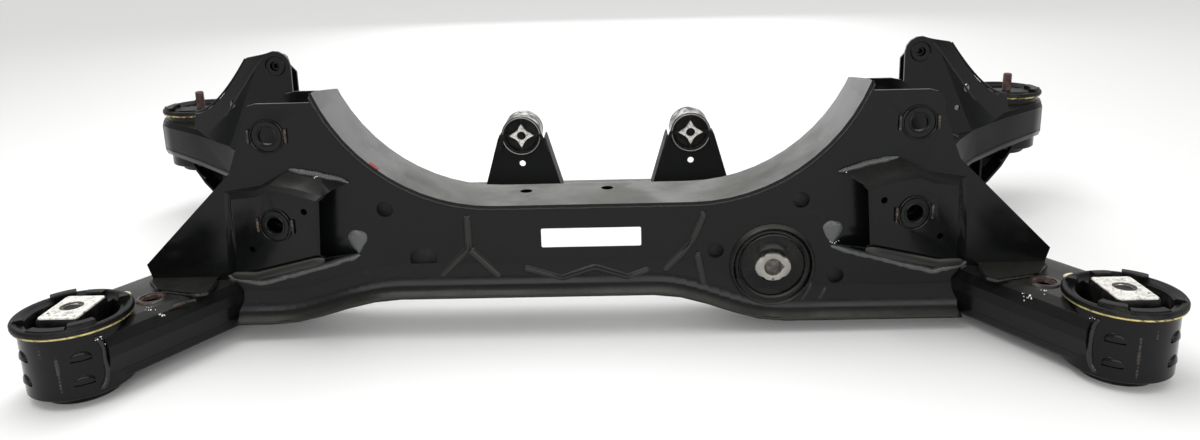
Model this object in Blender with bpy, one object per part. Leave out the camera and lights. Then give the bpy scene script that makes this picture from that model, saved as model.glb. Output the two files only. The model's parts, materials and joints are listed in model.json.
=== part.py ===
"""Rear axle subframe: a welded sheet-steel cradle with pressed-in rubber mounts.

Millimetre sizes are written in metres. X runs to the right, Y away from the near crossmember's
side and Z up. The sections are worked out with Y = 0 on the axes of the two near mounts, and an
empty carries every piece to the row's own origin, under the middle of the whole part.
"""
import math

import bmesh
import bpy
from mathutils import Vector

# Sheet, clearances and roundness
SHEET = 0.003                 # wall of the crossmembers, arms and side rails
PLATE = 0.004                 # wall of the brackets that carry links
GAP = 0.0003                  # clearance between pieces that meet
ROUND_STEPS = 24              # sides of a bush, sleeve or ring
HOLE_STEPS = 16               # sides of a bolt hole
BEND_STEPS = 3                # steps round a bend
MITRE_LIMIT = 0.35            # keeps a sharp corner's offset from running away
REACH = 0.020                 # how far a cutter runs past what it cuts

# Near crossmember
FACE_Y = 0.099                # near side of its face
BOX_DEPTH = 0.072             # face to back wall
ARCH_FLAT = 0.100             # half length of the level middle of the arch
ARCH_Z = 0.141                # height of the level middle
ARCH_RADIUS = 0.1875
LUG_TOP_Z = 0.251             # top of the ears that hold the upper links
ARCH_TIP_RISE = 0.0103        # the arch climbs this far past the ears
ARCH_SWEEP = math.degrees(math.acos(1 - (LUG_TOP_Z + ARCH_TIP_RISE - ARCH_Z) / ARCH_RADIUS))
ARCH_STEPS = 12
ARCH_END_X = ARCH_FLAT + ARCH_RADIUS * math.sin(math.radians(ARCH_SWEEP))
STRIP_LEAD = 0.0025           # the arch strip stands this far proud of the face
STRIP_TIP_Z = LUG_TOP_Z + 0.0115  # the strip's tips are trimmed level here at the face
STRIP_TIP_FALL = 0.011        # and this much lower at the back wall
STRIP_HOLES = ((-0.072, 0.146), (0.014, 0.152))
STRIP_HOLE_RADIUS = 0.0065
BEAD_WIDTH = 0.009
BEAD_RISE = 0.003
BEAD_END_SHARE = 0.45         # a bead's ends are this share of its size
BEADS = (
    ((-0.129, 0.131), (-0.129, 0.095), (-0.160, 0.064)),
    ((-0.129, 0.095), (-0.097, 0.062)),
    ((0.113, 0.130), (0.098, 0.095), (0.070, 0.066)),
    ((0.105, 0.087), (0.112, 0.049)),
    ((-0.074, 0.073), (-0.034, 0.061), (0.0, 0.072), (0.034, 0.061), (0.057, 0.069)),
)
SLOT_CENTRE = (-0.176, 0.085)
SLOT_SIZE = (0.028, 0.022)
SLOT_ROUND = 0.45             # corner radius as a share of the slot's height
BELLY_Z = 0.045               # underside at the middle
BELLY_LEFT_Z = 0.020          # underside at the left end
BELLY_RIGHT_Z = 0.014         # underside below the large bush
BELLY_LEFT_X = 0.200          # where the underside starts down, left of the middle
BELLY_RIGHT_X = 0.060         # and right of it
BELLY_RAMP = 0.135            # length of the way down
RAMP_STEPS = 5
LIP_REACH = 0.012             # forward flare of the face's lower edge
LIP_RADIUS = 0.009

# Link wings of the near crossmember
LUG_X = 0.349
LUG_CORNER = 0.016
WING_SHOULDER = (0.367, 0.180)
WING_TIP = (0.464, 0.084)
WING_FOOT = ((0.459, 0.094), (0.440, 0.069), (0.383, 0.052), (0.3905, 0.094))
WING_FOOT_CORNER = 0.010
WELD_END_X = 0.375            # where the box ends against an arm
BOX_SHOULDER_Z = 0.080        # where the box's upright end turns out toward the arm
BACK_LUG_TOP_Z = LUG_TOP_Z - 0.001
BACK_LUG_X = 0.334
BACK_LUG_CORNER = 0.026
BACK_WING_FOOT_Z = 0.040
BACK_WING_SHOULDER_Z = 0.150
UPPER_LINK = (0.324, LUG_TOP_Z - 0.033)
LOWER_LINK = (0.3175, 0.131)
LINK_HOLE_RADIUS = 0.0085
LINK_BOSS_RADIUS = 0.0150
LINK_BOSS_RISE = 0.0015
GUIDE_OFFSET = 0.019          # short upright ridges either side of a link hole
GUIDE_SIZE = (0.003, 0.015)
GUIDE_RISE = 0.0018
FACE_HOLES = ((-0.212, 0.139, 0.0085), (0.210, 0.140, 0.0085), (0.124, 0.088, 0.0085), (0.247, 0.058, 0.0085))

# Stand-off pocket of the lower link
POCKET_INNER_X = 0.266
POCKET_OUTER_X = 0.369
POCKET_FRONT = ((POCKET_INNER_X, 0.163), (0.295, 0.169), (0.322, 0.1715), (0.3395, 0.164),
                (POCKET_OUTER_X, 0.1595), (POCKET_OUTER_X + 0.003, 0.0725), (0.345, 0.0765),
                (POCKET_INNER_X + 0.005, 0.099))
POCKET_BACK = ((0.246, 0.169), (0.273, 0.1765), (0.3055, 0.1835), (0.336, 0.167), (0.3745, 0.161),
               (0.380, 0.0712), (0.345, 0.063), (0.241, 0.092))
POCKET_INNER_STANDOFF = 0.033
POCKET_OUTER_STANDOFF = 0.0075
POCKET_BEND = 0.005           # how much the front's edges are bent over
POCKET_SHEET = 0.003
POCKET_PINS = ((0.285, 0.147), (0.347, 0.103))
POCKET_PIN_RADIUS = 0.0035
POCKET_HOLE_RADIUS = 0.0088

# Near mounts and arms
REAR_X = 0.486
REAR_SEAT_Z = 0.0710          # top of the sleeve
REAR_SLEEVE_BOTTOM_Z = 0.010
ARM_TOP_Z = 0.066
ARM_BOTTOM_Z = 0.012
ARM_TOE = 31.0                # degrees that an arm turns inward from straight back
ARM_OUTER = 0.051             # arm axis to its outer wall
ARM_INNER_TOP = 0.060         # arm axis to its inner wall, at the top
ARM_INNER_BOTTOM = 0.042
ARM_HOLE = (0.439, 0.053)
ARM_HOLE_RADIUS = 0.0095
ARM_CORNER = 0.006
ARM_SHOULDER = 0.012          # extra rounding of the arm's inner upper edge

# Far mounts and side rails
FRONT_X = 0.590
FRONT_Y = 0.540
FRONT_SEAT_Z = 0.1550
FRONT_SLEEVE_BOTTOM_Z = 0.0810
NOSE_RADIUS = 0.055

# Bushes of the four body mounts
SLEEVE_RADIUS = 0.047
SLEEVE_WALL = 0.003
CAN_WALL = 0.0015
CAN_FLANGE_RADIUS = 0.0512
CAN_FLANGE = 0.0024
RUBBER_FLANGE_RADIUS = 0.0520
RUBBER_FLANGE = 0.0045
RUBBER_RIM_SHARE = 0.7        # share of the flange's height where its rim turns over
MOUNT_HOLE_RADIUS = 0.0075
CORE_RISE = 0.0085            # core above the rubber's seat
CORE_HALF_X = 0.0185
CORE_HALF_Y = 0.0255
CORE_CORNER = 0.003
CORE_FOOT_RISE = 0.002        # core's foot above the underside of the rubber's boot
VOID_RADIUS = 0.0375          # outer reach of the voids beside a core
VOID_HALF = 0.022             # half width of a void along its core
VOID_GAP = 0.004              # rubber left between a void and its core
VOID_DEPTH = 0.018            # how far a void goes below the sleeve's top
VOID_SWING = 48               # degrees that a void reaches round either way
LIP_RING_RADIUS = 0.0445      # inner edge of the rubber flange's raised ring
RUBBER_DISH = 0.002           # rubber left inside the raised ring
BOOT_RADIUS = 0.034
FRONT_BOOT_DROP = 0.009       # far boots below their sleeves

TAB_SIZE = (0.024, 0.009)     # rubber stops beyond both ends of a core
TAB_CENTRE = 0.0365
TAB_RISE = 0.004
SLOT_HALF = 0.006             # half the extra length of a far core's bolt slot

# Bolts left in the far mounts
BOLT_SHIFTS = {"left": 0.0, "right": SLOT_HALF}
BOLT_CLEARANCE = 0.0012
BOLT_HEAD_RADIUS = 0.0105
BOLT_HEAD_HEIGHT = 0.008
BOLT_STICK_OUT = 0.029        # threaded end above the far sleeve's top
BOLT_CHAMFER = 0.002

# Differential mounts
DIFF_X = 0.182
DIFF_Z = 0.071
DIFF_RADIUS = 0.044
DIFF_WALL = 0.003
DIFF_CORE_RADIUS = 0.017
DIFF_BOLT_RADIUS = 0.0062
DIFF_LEAD = 0.006             # the large sleeve's end in front of the face
DIFF_TAIL = 0.004             # and behind the back wall
DIFF_RUBBER_SINK = 0.003      # rubber's ends inside their sleeve
DIFF_CORE_LEAD = 0.001
FRONT_DIFF_MIDDLE_X = 0.010
FRONT_DIFF_SPREAD = 0.120
FRONT_DIFF_Y = 0.476
FRONT_DIFF_Z = 0.121
FRONT_DIFF_RADIUS = 0.028
FRONT_DIFF_WALL = 0.003
FRONT_DIFF_LENGTH = 0.046
FRONT_DIFF_CORE = 0.0175
FRONT_DIFF_STEPS = 24
FRONT_DIFF_BOLT_RADIUS = 0.0062
DIFF_BRACKET_LEAD = 0.003     # the bracket stands this far behind the tube's near end
DIFF_BRACKET_DEPTH = 0.037
DIFF_BRACKET_HALF_FOOT = 0.0555
DIFF_BRACKET_SLOPE = 0.29     # how fast its flanks lean in
DIFF_BRACKET_TOP_Z = 0.117
DIFF_BRACKET_HOLE = (0.080, 0.0045)

# Far crossmember
CROSS_Y = 0.484
CROSS_WIDTH = 0.084
CROSS_TOP_Z = 0.042
CROSS_END_X = 0.470
CROSS_CORNER = 0.008
CROSS_SEAM_SHARE = 0.4

# Side rails: x, y, underside, top and half width at each bend, up to the far mount
RAIL_START_Y = FACE_Y + BOX_DEPTH + 2 * GAP
RAIL_BENDS = (
    (0.345, RAIL_START_Y, 0.018, 0.084, 0.040),
    (0.352, 0.2500, 0.016, 0.084, 0.040),
    (0.382, 0.3400, 0.026, 0.095, 0.041),
    (0.430, 0.4200, 0.050, 0.116, 0.043),
    (0.490, 0.4800, 0.073, 0.136, 0.046),
    (FRONT_X, FRONT_Y, 0.0945, 0.150, NOSE_RADIUS),
)
RAIL_CORNER = 0.010
RAIL_CORNER_LIMIT = 0.6       # and never more than this share of the rail's half width
NOSE_SWINGS = (28, 50, 68, 82)  # degrees round the far mount where the rail's end has a section

# Gusset below a far arm: a tray that opens forward, with an upright rib
BRACE_Y = 0.488
BRACE_DEPTH = 0.036
BRACE_OUTLINE = ((CROSS_END_X + GAP, 0.0015), (0.530, 0.012), (0.557, 0.035), (0.575, 0.058), (0.590, 0.085),
                 (0.590, 0.112), (0.535, 0.100), (CROSS_END_X + GAP, 0.088))
BRACE_RIB_X = 0.546
SEAM_SHARE = 0.22             # height of the seam between the two halves of a box

# Link brackets on the far arms
BRACKET_Y = 0.420
BRACKET_LEFT_X = 0.408
BRACKET_HOLE = (0.4285, 0.2375)
BRACKET_ROUND = 0.0205
BRACKET_FOLDS = (             # start, end and how fast what lies outside runs back
    ((0.450, 0.246), (0.487, 0.163), 0.35),
    ((0.452, 0.242), (0.509, 0.158), 0.60),
)
BRACKET_SHOULDER = (0.474, 0.247)
BRACKET_TOE = (0.572, 0.163)
BRACKET_SWEEP = 1.75          # how hollow the outer edge is
BRACKET_FOOT = ((BRACKET_TOE[0], 0.145), (0.545, 0.138), (0.490, 0.126), (0.430, 0.108),
                (BRACKET_LEFT_X + 0.001, 0.102))
BRACKET_BOLT_RADIUS = 0.0065
BRACKET_OPENINGS = ((0.495, 0.186, 0.0050), (0.481, 0.161, 0.0035))
BRACKET_BOLT_SKEW = 0.2       # sideways run of the link's bolt for each run back
FAR_PLATE = ((0.4165, 0.106, 0), (0.4165, 0.2225, 0.003), (0.4265, 0.2345, 0.003), (0.4265, 0.248, 0.009),
             (0.459, 0.248, 0.012), (0.488, 0.165, 0.01), (0.492, 0.118, 0))
BRACKET_CLEVIS = 0.046        # gap between the two plates of a far link

CENTRE_Y = (FRONT_Y + NOSE_RADIUS - RUBBER_FLANGE_RADIUS) / 2

# Finishes: colour, roughness and how metallic it is
BLACK_PAINT = ((0.010, 0.010, 0.011), 0.28, 0.0)
RUBBER = ((0.012, 0.012, 0.012), 0.65, 0.0)
ZINC = ((0.56, 0.50, 0.20), 0.5, 0.8)
ALUMINIUM = ((0.60, 0.60, 0.58), 0.6, 0.9)
RUST = ((0.20, 0.08, 0.03), 0.8, 0.3)


def clear_scene():
    for item in list(bpy.data.objects):
        bpy.data.objects.remove(item, do_unlink=True)


def finish_material(name, colour, roughness, metallic):
    material = bpy.data.materials.new(name)
    material.use_nodes = True
    shader = material.node_tree.nodes["Principled BSDF"]
    shader.inputs["Base Color"].default_value = (*colour, 1.0)
    shader.inputs["Roughness"].default_value = roughness
    shader.inputs["Metallic"].default_value = metallic
    return material


def piece(name, bm, carrier, look=None):
    """Turn a bmesh into a named object; without a look it is a hidden cutter."""
    bmesh.ops.recalc_face_normals(bm, faces=bm.faces)
    mesh = bpy.data.meshes.new(name)
    bm.to_mesh(mesh)
    bm.free()
    thing = bpy.data.objects.new(name, mesh)
    bpy.context.collection.objects.link(thing)
    thing.parent = carrier
    if look is None:
        thing.hide_render = True
        thing.display_type = "WIRE"
    else:
        mesh.materials.append(finish_material(name, *look))
        mesh.shade_smooth()
        mesh.set_sharp_from_angle(angle=math.radians(35))
    return thing


def boolean(thing, tool, operation="DIFFERENCE"):
    step = thing.modifiers.new(tool.name, "BOOLEAN")
    step.operation = operation
    step.solver = "EXACT"
    step.object = tool
    return thing


def rounded_outline(corners, steps=BEND_STEPS):
    """Corners are (a, b, radius); each radius becomes an arc of the given steps."""
    outline = []
    count = len(corners)
    for index, (a, b, radius) in enumerate(corners):
        corner = Vector((a, b))
        before = Vector(corners[index - 1][:2]) - corner
        after = Vector(corners[(index + 1) % count][:2]) - corner
        if radius == 0:
            outline.append((a, b))
            continue
        half = before.angle(after) / 2
        middle = corner + (before.normalized() + after.normalized()).normalized() * radius / math.sin(half)
        start = corner + before.normalized() * radius / math.tan(half) - middle
        end = corner + after.normalized() * radius / math.tan(half) - middle
        turn = start.angle_signed(end)
        for step in range(steps + 1):
            swing = -turn * step / steps
            spoke = Vector((start.x * math.cos(swing) - start.y * math.sin(swing),
                            start.x * math.sin(swing) + start.y * math.cos(swing)))
            outline.append(tuple(middle + spoke))
    return outline


def circle_outline(a, b, radius, steps=HOLE_STEPS):
    """A circle whose flats, not corners, lie at the stated radius on average."""
    return [(a + radius * math.cos(2 * math.pi * step / steps),
             b + radius * math.sin(2 * math.pi * step / steps)) for step in range(steps)]


def grown(outline, distance):
    """The outline moved outward by a distance, mitred at its corners."""
    area = sum(x0 * y1 - x1 * y0 for (x0, y0), (x1, y1) in zip(outline, outline[1:] + outline[:1]))
    side = 1.0 if area > 0 else -1.0
    result = []
    for index, point in enumerate(outline):
        here = Vector(point)
        before = (here - Vector(outline[index - 1])).normalized()
        after = (Vector(outline[(index + 1) % len(outline)]) - here).normalized()
        normal = Vector((before.y + after.y, -before.x - after.x)).normalized() * side
        miter = max(MITRE_LIMIT, normal.dot(Vector((before.y, -before.x)) * side))
        result.append(tuple(here + normal * distance / miter))
    return result


def prism(outline, low, high, plane="XZ"):
    """Extrude an outline in the XZ plane along Y, or in the XY plane along Z."""
    bm = bmesh.new()
    if plane == "XZ":
        corners = [bm.verts.new((a, low, b)) for a, b in outline]
        travel = Vector((0, high - low, 0))
    else:
        corners = [bm.verts.new((a, b, low)) for a, b in outline]
        travel = Vector((0, 0, high - low))
    face = bm.faces.new(corners)
    grown_part = bmesh.ops.extrude_face_region(bm, geom=[face])
    moved = [item for item in grown_part["geom"] if isinstance(item, bmesh.types.BMVert)]
    bmesh.ops.translate(bm, verts=moved, vec=travel)
    return bm


def loft(loops):
    """Skin closed loops of equal length into one solid with capped ends.

    Every four-sided patch is split along the same diagonal, so that a grown or inset copy of a
    solid keeps an even distance from it.
    """
    bm = bmesh.new()
    rings = [[bm.verts.new(point) for point in loop] for loop in loops]
    patches = []
    for first, second in zip(rings, rings[1:]):
        for index in range(len(first)):
            patches.append(bm.faces.new((first[index - 1], first[index], second[index], second[index - 1])))
    bmesh.ops.triangulate(bm, faces=patches, quad_method="FIXED")
    bm.faces.new(rings[0])
    bm.faces.new(rings[-1])
    return bm


def turned(profile, centre, axis="Z", steps=ROUND_STEPS):
    """Spin a closed profile of (radius, height) pairs about an upright or a Y axis."""
    bm = bmesh.new()
    corners = [bm.verts.new((radius, 0, height)) for radius, height in profile]
    edges = [bm.edges.new((corners[index - 1], corners[index])) for index in range(len(corners))]
    bmesh.ops.spin(bm, geom=corners + edges, cent=(0, 0, 0), axis=(0, 0, 1), angle=2 * math.pi,
                   steps=steps, use_merge=True)
    bmesh.ops.remove_doubles(bm, verts=bm.verts, dist=1e-6)
    if axis == "Y":
        turn = [vert for vert in bm.verts]
        for vert in turn:
            vert.co = Vector((vert.co.x, vert.co.z, -vert.co.y))
    bmesh.ops.translate(bm, verts=bm.verts, vec=centre)
    return bm


def drill(thing, name, carrier, outline, low, high, plane="XZ"):
    return boolean(thing, piece(name, prism(outline, low, high, plane), carrier))


def ease(start, end, share):
    """Move from start to end with a level tangent at both ends."""
    return start + (end - start) * (1 - math.cos(math.pi * share)) / 2


def belly_curve(end_inset=0.0, drop=0.0):
    """The underside from left to right, in the same steps for every piece that follows it.

    It is level in the middle and eases down to its ends and below the large bush.
    """
    shares = [step / RAMP_STEPS for step in range(RAMP_STEPS + 1)]
    left = [(-BELLY_LEFT_X - BELLY_RAMP * share, ease(BELLY_Z, BELLY_LEFT_Z, share)) for share in shares]
    right = [(BELLY_RIGHT_X + BELLY_RAMP * share, ease(BELLY_Z, BELLY_RIGHT_Z, share)) for share in shares]
    ends = WELD_END_X - end_inset
    line = [(-ends, BELLY_LEFT_Z)] + left[::-1] + right + [(ends, BELLY_RIGHT_Z)]
    return [(x, z - drop) for x, z in line]


def arch_curve(drop=0.0):
    """The arch from its right tip to its left tip, lowered square to itself by a sheet or more."""
    steps = ARCH_STEPS
    sweep = math.radians(ARCH_SWEEP)
    radius = ARCH_RADIUS + drop
    right = [(ARCH_FLAT + radius * math.sin(sweep * step / steps),
              ARCH_Z + ARCH_RADIUS - radius * math.cos(sweep * step / steps)) for step in range(steps, -1, -1)]
    return right + [(-x, z) for x, z in reversed(right)]


def arm_frame(side):
    """The mount, the direction inward along the arm and the direction across it."""
    toe = math.radians(ARM_TOE)
    mount = Vector((side * REAR_X, 0))
    along = Vector((-side * math.sin(toe), math.cos(toe)))
    across = Vector((-side * math.cos(toe), -math.sin(toe)))
    return mount, along, across


def arm_solid(side, inset, start, end_y):
    """The arm's box, inset by a wall or grown by a clearance; its far end is square to Y."""
    mount, along, across = arm_frame(side)
    corner = max(ARM_CORNER / 3, ARM_CORNER - inset)
    section = rounded_outline([(-ARM_OUTER + inset, ARM_BOTTOM_Z + inset, corner),
                               (ARM_INNER_BOTTOM - inset, ARM_BOTTOM_Z + inset, corner),
                               (ARM_INNER_TOP - inset, ARM_TOP_Z - inset, corner + ARM_SHOULDER),
                               (-ARM_OUTER + inset, ARM_TOP_Z - inset, corner)])
    near = []
    far = []
    for across_by, z in section:
        spot = mount + across * across_by + along * start
        near.append((spot.x, spot.y, z))
        reach = (end_y - spot.y) / along.y
        far.append((spot.x + along.x * reach, end_y, z))
    return loft([near, far])


def block(low, high):
    """A plain box, for cutters."""
    (x0, y0, z0), (x1, y1, z1) = low, high
    return prism([(x0, z0), (x1, z0), (x1, z1), (x0, z1)], y0, y1)


def rear_arm(carrier, paint, side, label):
    """The near arm: a deep upper pressing closed by a shallow lower one, saddled on its sleeve."""
    end_y = FACE_Y + BOX_DEPTH - SHEET - GAP
    seam = ARM_BOTTOM_Z + (ARM_TOP_Z - ARM_BOTTOM_Z) * SEAM_SHARE
    inner = piece("rear_arm_hollow_" + label, arm_solid(side, SHEET, -SHEET, end_y + SHEET), carrier)
    saddle = piece("rear_arm_saddle_" + label,
                   prism(circle_outline(side * REAR_X, 0, SLEEVE_RADIUS + GAP, ROUND_STEPS),
                         ARM_BOTTOM_Z - SHEET, ARM_TOP_Z + SHEET, "XY"), carrier)
    halves = (("upper", -1.0, seam + GAP / 2), ("lower", seam - GAP / 2, 1.0))
    for half, low, high in halves:
        shell = piece("rear_arm_%s_%s" % (half, label), arm_solid(side, 0, 0, end_y), carrier, paint)
        boolean(shell, inner)
        boolean(shell, saddle)
        trim = block((-1, -1, low), (1, 1, high))
        boolean(shell, piece("rear_arm_trim_%s_%s" % (half, label), trim, carrier))
        if half == "upper":
            drill(shell, "rear_arm_hole_" + label, carrier,
                  circle_outline(side * ARM_HOLE[0], ARM_HOLE[1], ARM_HOLE_RADIUS),
                  ARM_TOP_Z - 2 * SHEET, ARM_TOP_Z + SHEET, "XY")


def mirrored(points, side):
    return [(side * a, b) for a, b in points]


def face_outline(lift=LIP_RADIUS + SHEET):
    """Face of the near crossmember with its lugs and wings, its lower edge lifted off the belly."""
    wing = [(ARCH_END_X + SHEET + GAP, LUG_TOP_Z, 0), (LUG_X, LUG_TOP_Z, LUG_CORNER),
            (LUG_X, LUG_TOP_Z - 3 * LUG_CORNER / 2, 0), WING_SHOULDER + (0,), WING_TIP + (0,),
            (WING_FOOT[0][0], ARM_TOP_Z + GAP, 0), (WELD_END_X, ARM_TOP_Z + GAP, 0)]
    wing = rounded_outline(wing)
    left = mirrored(wing, -1)
    belly = belly_curve(0, -lift)
    return arch_curve(SHEET + GAP) + left + belly + list(reversed(wing))


def lip_sweep():
    """The forward flare of the face's lower edge, swept along the belly."""
    section = rounded_outline([(FACE_Y + SHEET, 2 * LIP_RADIUS + SHEET, 0), (FACE_Y + SHEET, 0, LIP_RADIUS),
                               (FACE_Y - LIP_REACH, 0, 0), (FACE_Y - LIP_REACH, SHEET, 0),
                               (FACE_Y, SHEET, LIP_RADIUS - SHEET), (FACE_Y, 2 * LIP_RADIUS + SHEET, 0)])
    return loft([[(x, y, z + rise) for y, rise in section]
                 for x, z in belly_curve()])


def bead(points, width=BEAD_WIDTH, rise=BEAD_RISE):
    """A pressed stiffening bead on the face: a low ridge swept along a bent line."""
    loops = []
    last = len(points) - 1
    for index, point in enumerate(points):
        here = Vector(point)
        back = Vector(points[max(0, index - 1)])
        ahead = Vector(points[min(last, index + 1)])
        run = (ahead - back).normalized()
        square = Vector((-run.y, run.x))
        share = BEAD_END_SHARE if index in (0, last) else 1.0
        crest = FACE_Y - rise * share
        half = width / 2 * share
        root = FACE_Y + SHEET / 2
        loops.append([(here.x + square.x * a, y, here.y + square.y * a)
                      for a, y in ((-half, root), (-half / 2, crest), (half / 2, crest), (half, root))])
    return loft(loops)


def foot_plate(side):
    """The wing's lower flange, bent forward onto the arm's top."""
    outer, inner = WING_FOOT[0], WING_FOOT[-1]
    root = FACE_Y + SHEET
    toes = [corner + (WING_FOOT_CORNER,) for corner in WING_FOOT[1:-1]]
    outline = rounded_outline([(outer[0], root, 0), outer + (0,)] + toes + [inner + (0,), (inner[0], root, 0)])
    return prism(mirrored(outline, side), ARM_TOP_Z + GAP, ARM_TOP_Z + GAP + SHEET, "XY")


def near_crossmember(carrier, paint):
    """Two pressings: the near face with its wings, and a tray that carries the arch strip."""
    back_y = FACE_Y + BOX_DEPTH
    face = piece("crossmember_face_shell", prism(face_outline(), FACE_Y, FACE_Y + SHEET), carrier, paint)
    boolean(face, piece("face_lip", lip_sweep(), carrier), "UNION")
    for number, points in enumerate(BEADS):
        boolean(face, piece("face_bead_%d" % number, bead(points), carrier), "UNION")
    box = prism(tray_outline(0), FACE_Y - STRIP_LEAD, back_y)
    hollow = prism(tray_outline(SHEET), FACE_Y - 2 * STRIP_LEAD, back_y - SHEET)
    tray = piece("crossmember_back_shell", box, carrier, paint)
    boolean(tray, piece("tray_hollow", hollow, carrier))
    for side, label in ((-1, "left"), (1, "right")):
        boolean(face, piece("face_foot_" + label, foot_plate(side), carrier), "UNION")
        boolean(tray, piece("tray_wing_" + label, prism(mirrored(back_wing(), side), back_y - SHEET, back_y),
                            carrier), "UNION")
        arm = piece("arm_clearance_" + label, arm_solid(side, -GAP, 0, back_y - SHEET - GAP / 2), carrier)
        boolean(face, arm)
        boolean(tray, arm)
        link_holes(face, tray, carrier, side, label)
    clearance = prism(grown(face_outline(GAP / 3), GAP), FACE_Y - 3 * LIP_REACH, FACE_Y + SHEET + GAP)
    boolean(tray, piece("face_clearance", clearance, carrier))
    boolean(tray, piece("strip_tip_trim", strip_tip_trim(), carrier))
    bush_seat = circle_outline(DIFF_X, DIFF_Z, DIFF_RADIUS + GAP, ROUND_STEPS)
    seat = piece("diff_bush_seat", prism(bush_seat, FACE_Y - REACH, back_y + REACH), carrier)
    boolean(face, seat)
    boolean(tray, seat)
    near_y, far_y = FACE_Y - REACH, FACE_Y + REACH
    for number, (x, z, radius) in enumerate(FACE_HOLES):
        drill(face, "face_hole_%d" % number, carrier, circle_outline(x, z, radius), near_y, far_y)
    drill(face, "face_slot", carrier, oval_outline(SLOT_CENTRE, SLOT_SIZE), near_y, far_y)
    for number, (x, y) in enumerate(STRIP_HOLES):
        drill(tray, "strip_hole_%d" % number, carrier, circle_outline(x, y, STRIP_HOLE_RADIUS, 12),
              ARCH_Z - REACH, ARCH_Z + REACH, "XY")


def strip_tip_trim():
    """Wedge that trims both tips of the strip level, lower at the back wall."""
    near_y = FACE_Y - REACH
    far_y = FACE_Y + BOX_DEPTH + REACH
    fall = STRIP_TIP_FALL / BOX_DEPTH
    section = [(near_y, STRIP_TIP_Z + fall * REACH), (far_y, STRIP_TIP_Z - fall * (BOX_DEPTH + REACH)),
               (far_y, STRIP_TIP_Z + 2 * REACH), (near_y, STRIP_TIP_Z + 2 * REACH)]
    return loft([[(x, y, z) for y, z in section] for x in (-LUG_X, LUG_X)])


def oval_outline(centre, size):
    """A slot with rounded corners."""
    (x, z), (length, height) = centre, size
    corner = height * SLOT_ROUND
    return rounded_outline([(x - length / 2, z - height / 2, corner), (x + length / 2, z - height / 2, corner),
                            (x + length / 2, z + height / 2, corner), (x - length / 2, z + height / 2, corner)])


def tray_outline(inset):
    """Section of the closed box: arch, upright ends, sloping shoulders and belly."""
    shoulder = [(ARCH_END_X + SHEET - inset, BOX_SHOULDER_Z), (WELD_END_X - inset, ARM_TOP_Z - inset)]
    belly = belly_curve(inset, GAP + SHEET - inset)
    return arch_curve(inset) + mirrored(shoulder, -1) + belly + list(reversed(shoulder))


def back_wing():
    """The rear ear of a link clevis, on the back wall."""
    root_x = ARCH_END_X - LUG_CORNER
    return rounded_outline([(root_x, BACK_WING_FOOT_Z, 0), (WELD_END_X, BACK_WING_FOOT_Z, 0),
                            (WELD_END_X, BACK_WING_SHOULDER_Z, LUG_CORNER),
                            (LUG_X - LUG_CORNER / 4, UPPER_LINK[1], LUG_CORNER / 4),
                            (BACK_LUG_X, BACK_LUG_TOP_Z, BACK_LUG_CORNER), (ARCH_END_X, BACK_LUG_TOP_Z, 0),
                            (root_x, UPPER_LINK[1], 0)])


def link_holes(face, tray, carrier, side, label):
    """Bolt holes through both ears of the two link clevises, with a raised seat on the near ear."""
    for name, (x, z) in (("upper", UPPER_LINK), ("lower", LOWER_LINK)):
        if name == "upper":
            boss = prism(circle_outline(side * x, z, LINK_BOSS_RADIUS), FACE_Y - LINK_BOSS_RISE,
                         FACE_Y + SHEET / 2)
            boolean(face, piece("%s_link_boss_%s" % (name, label), boss, carrier), "UNION")
            for number, guide in enumerate(guide_outlines(x, z)):
                ridge = prism(mirrored(guide, side), FACE_Y - GUIDE_RISE, FACE_Y + SHEET / 2)
                boolean(face, piece("upper_link_guide_%d_%s" % (number, label), ridge, carrier), "UNION")
        bolt = piece("%s_link_bolt_hole_%s" % (name, label),
                     prism(circle_outline(side * x, z, LINK_HOLE_RADIUS), FACE_Y - REACH,
                           FACE_Y + BOX_DEPTH + REACH),
                     carrier)
        boolean(face, bolt)
        boolean(tray, bolt)


def pocket_front(x):
    """Y of the pocket's front plane, which comes nearer toward its open inner side."""
    share = (x - POCKET_INNER_X) / (POCKET_OUTER_X - POCKET_INNER_X)
    return FACE_Y - POCKET_INNER_STANDOFF - (POCKET_OUTER_STANDOFF - POCKET_INNER_STANDOFF) * share


def pocket_solid(side, inset, inner_reach):
    """Wedge that stands off the face; with an inset it is the cutter that hollows the wedge."""
    pulls = [inner_reach] + [0] * (len(POCKET_FRONT) - 2) + [inner_reach]
    rows = []
    for outline, bend in ((grown(POCKET_FRONT, -POCKET_BEND), 0.0), (POCKET_FRONT, POCKET_BEND)):
        row = [(x - pull, z) for (x, z), pull in zip(grown(list(outline), -inset), pulls)]
        rows.append([(side * x, pocket_front(x) + bend + inset, z) for x, z in row])
    far = [(x - pull, z) for (x, z), pull in zip(grown(list(POCKET_BACK), -inset), pulls)]
    rows.append([(side * x, FACE_Y - GAP + inset, z) for x, z in far])
    return loft(rows)


def pocket_relief(side, outline, rise):
    """A low boss on the pocket's slanting front."""
    return loft([[(side * x, pocket_front(x) + level, z) for x, z in outline] for level in (-rise, POCKET_SHEET / 2)])


def guide_outlines(x, z):
    """The two short upright ridges that keep a link bolt's head from turning."""
    half_width, half_height = GUIDE_SIZE[0] / 2, GUIDE_SIZE[1] / 2
    return [[(x + dx - half_width, z - half_height), (x + dx + half_width, z - half_height),
             (x + dx + half_width, z + half_height), (x + dx - half_width, z + half_height)]
            for dx in (-GUIDE_OFFSET, GUIDE_OFFSET)]


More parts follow.
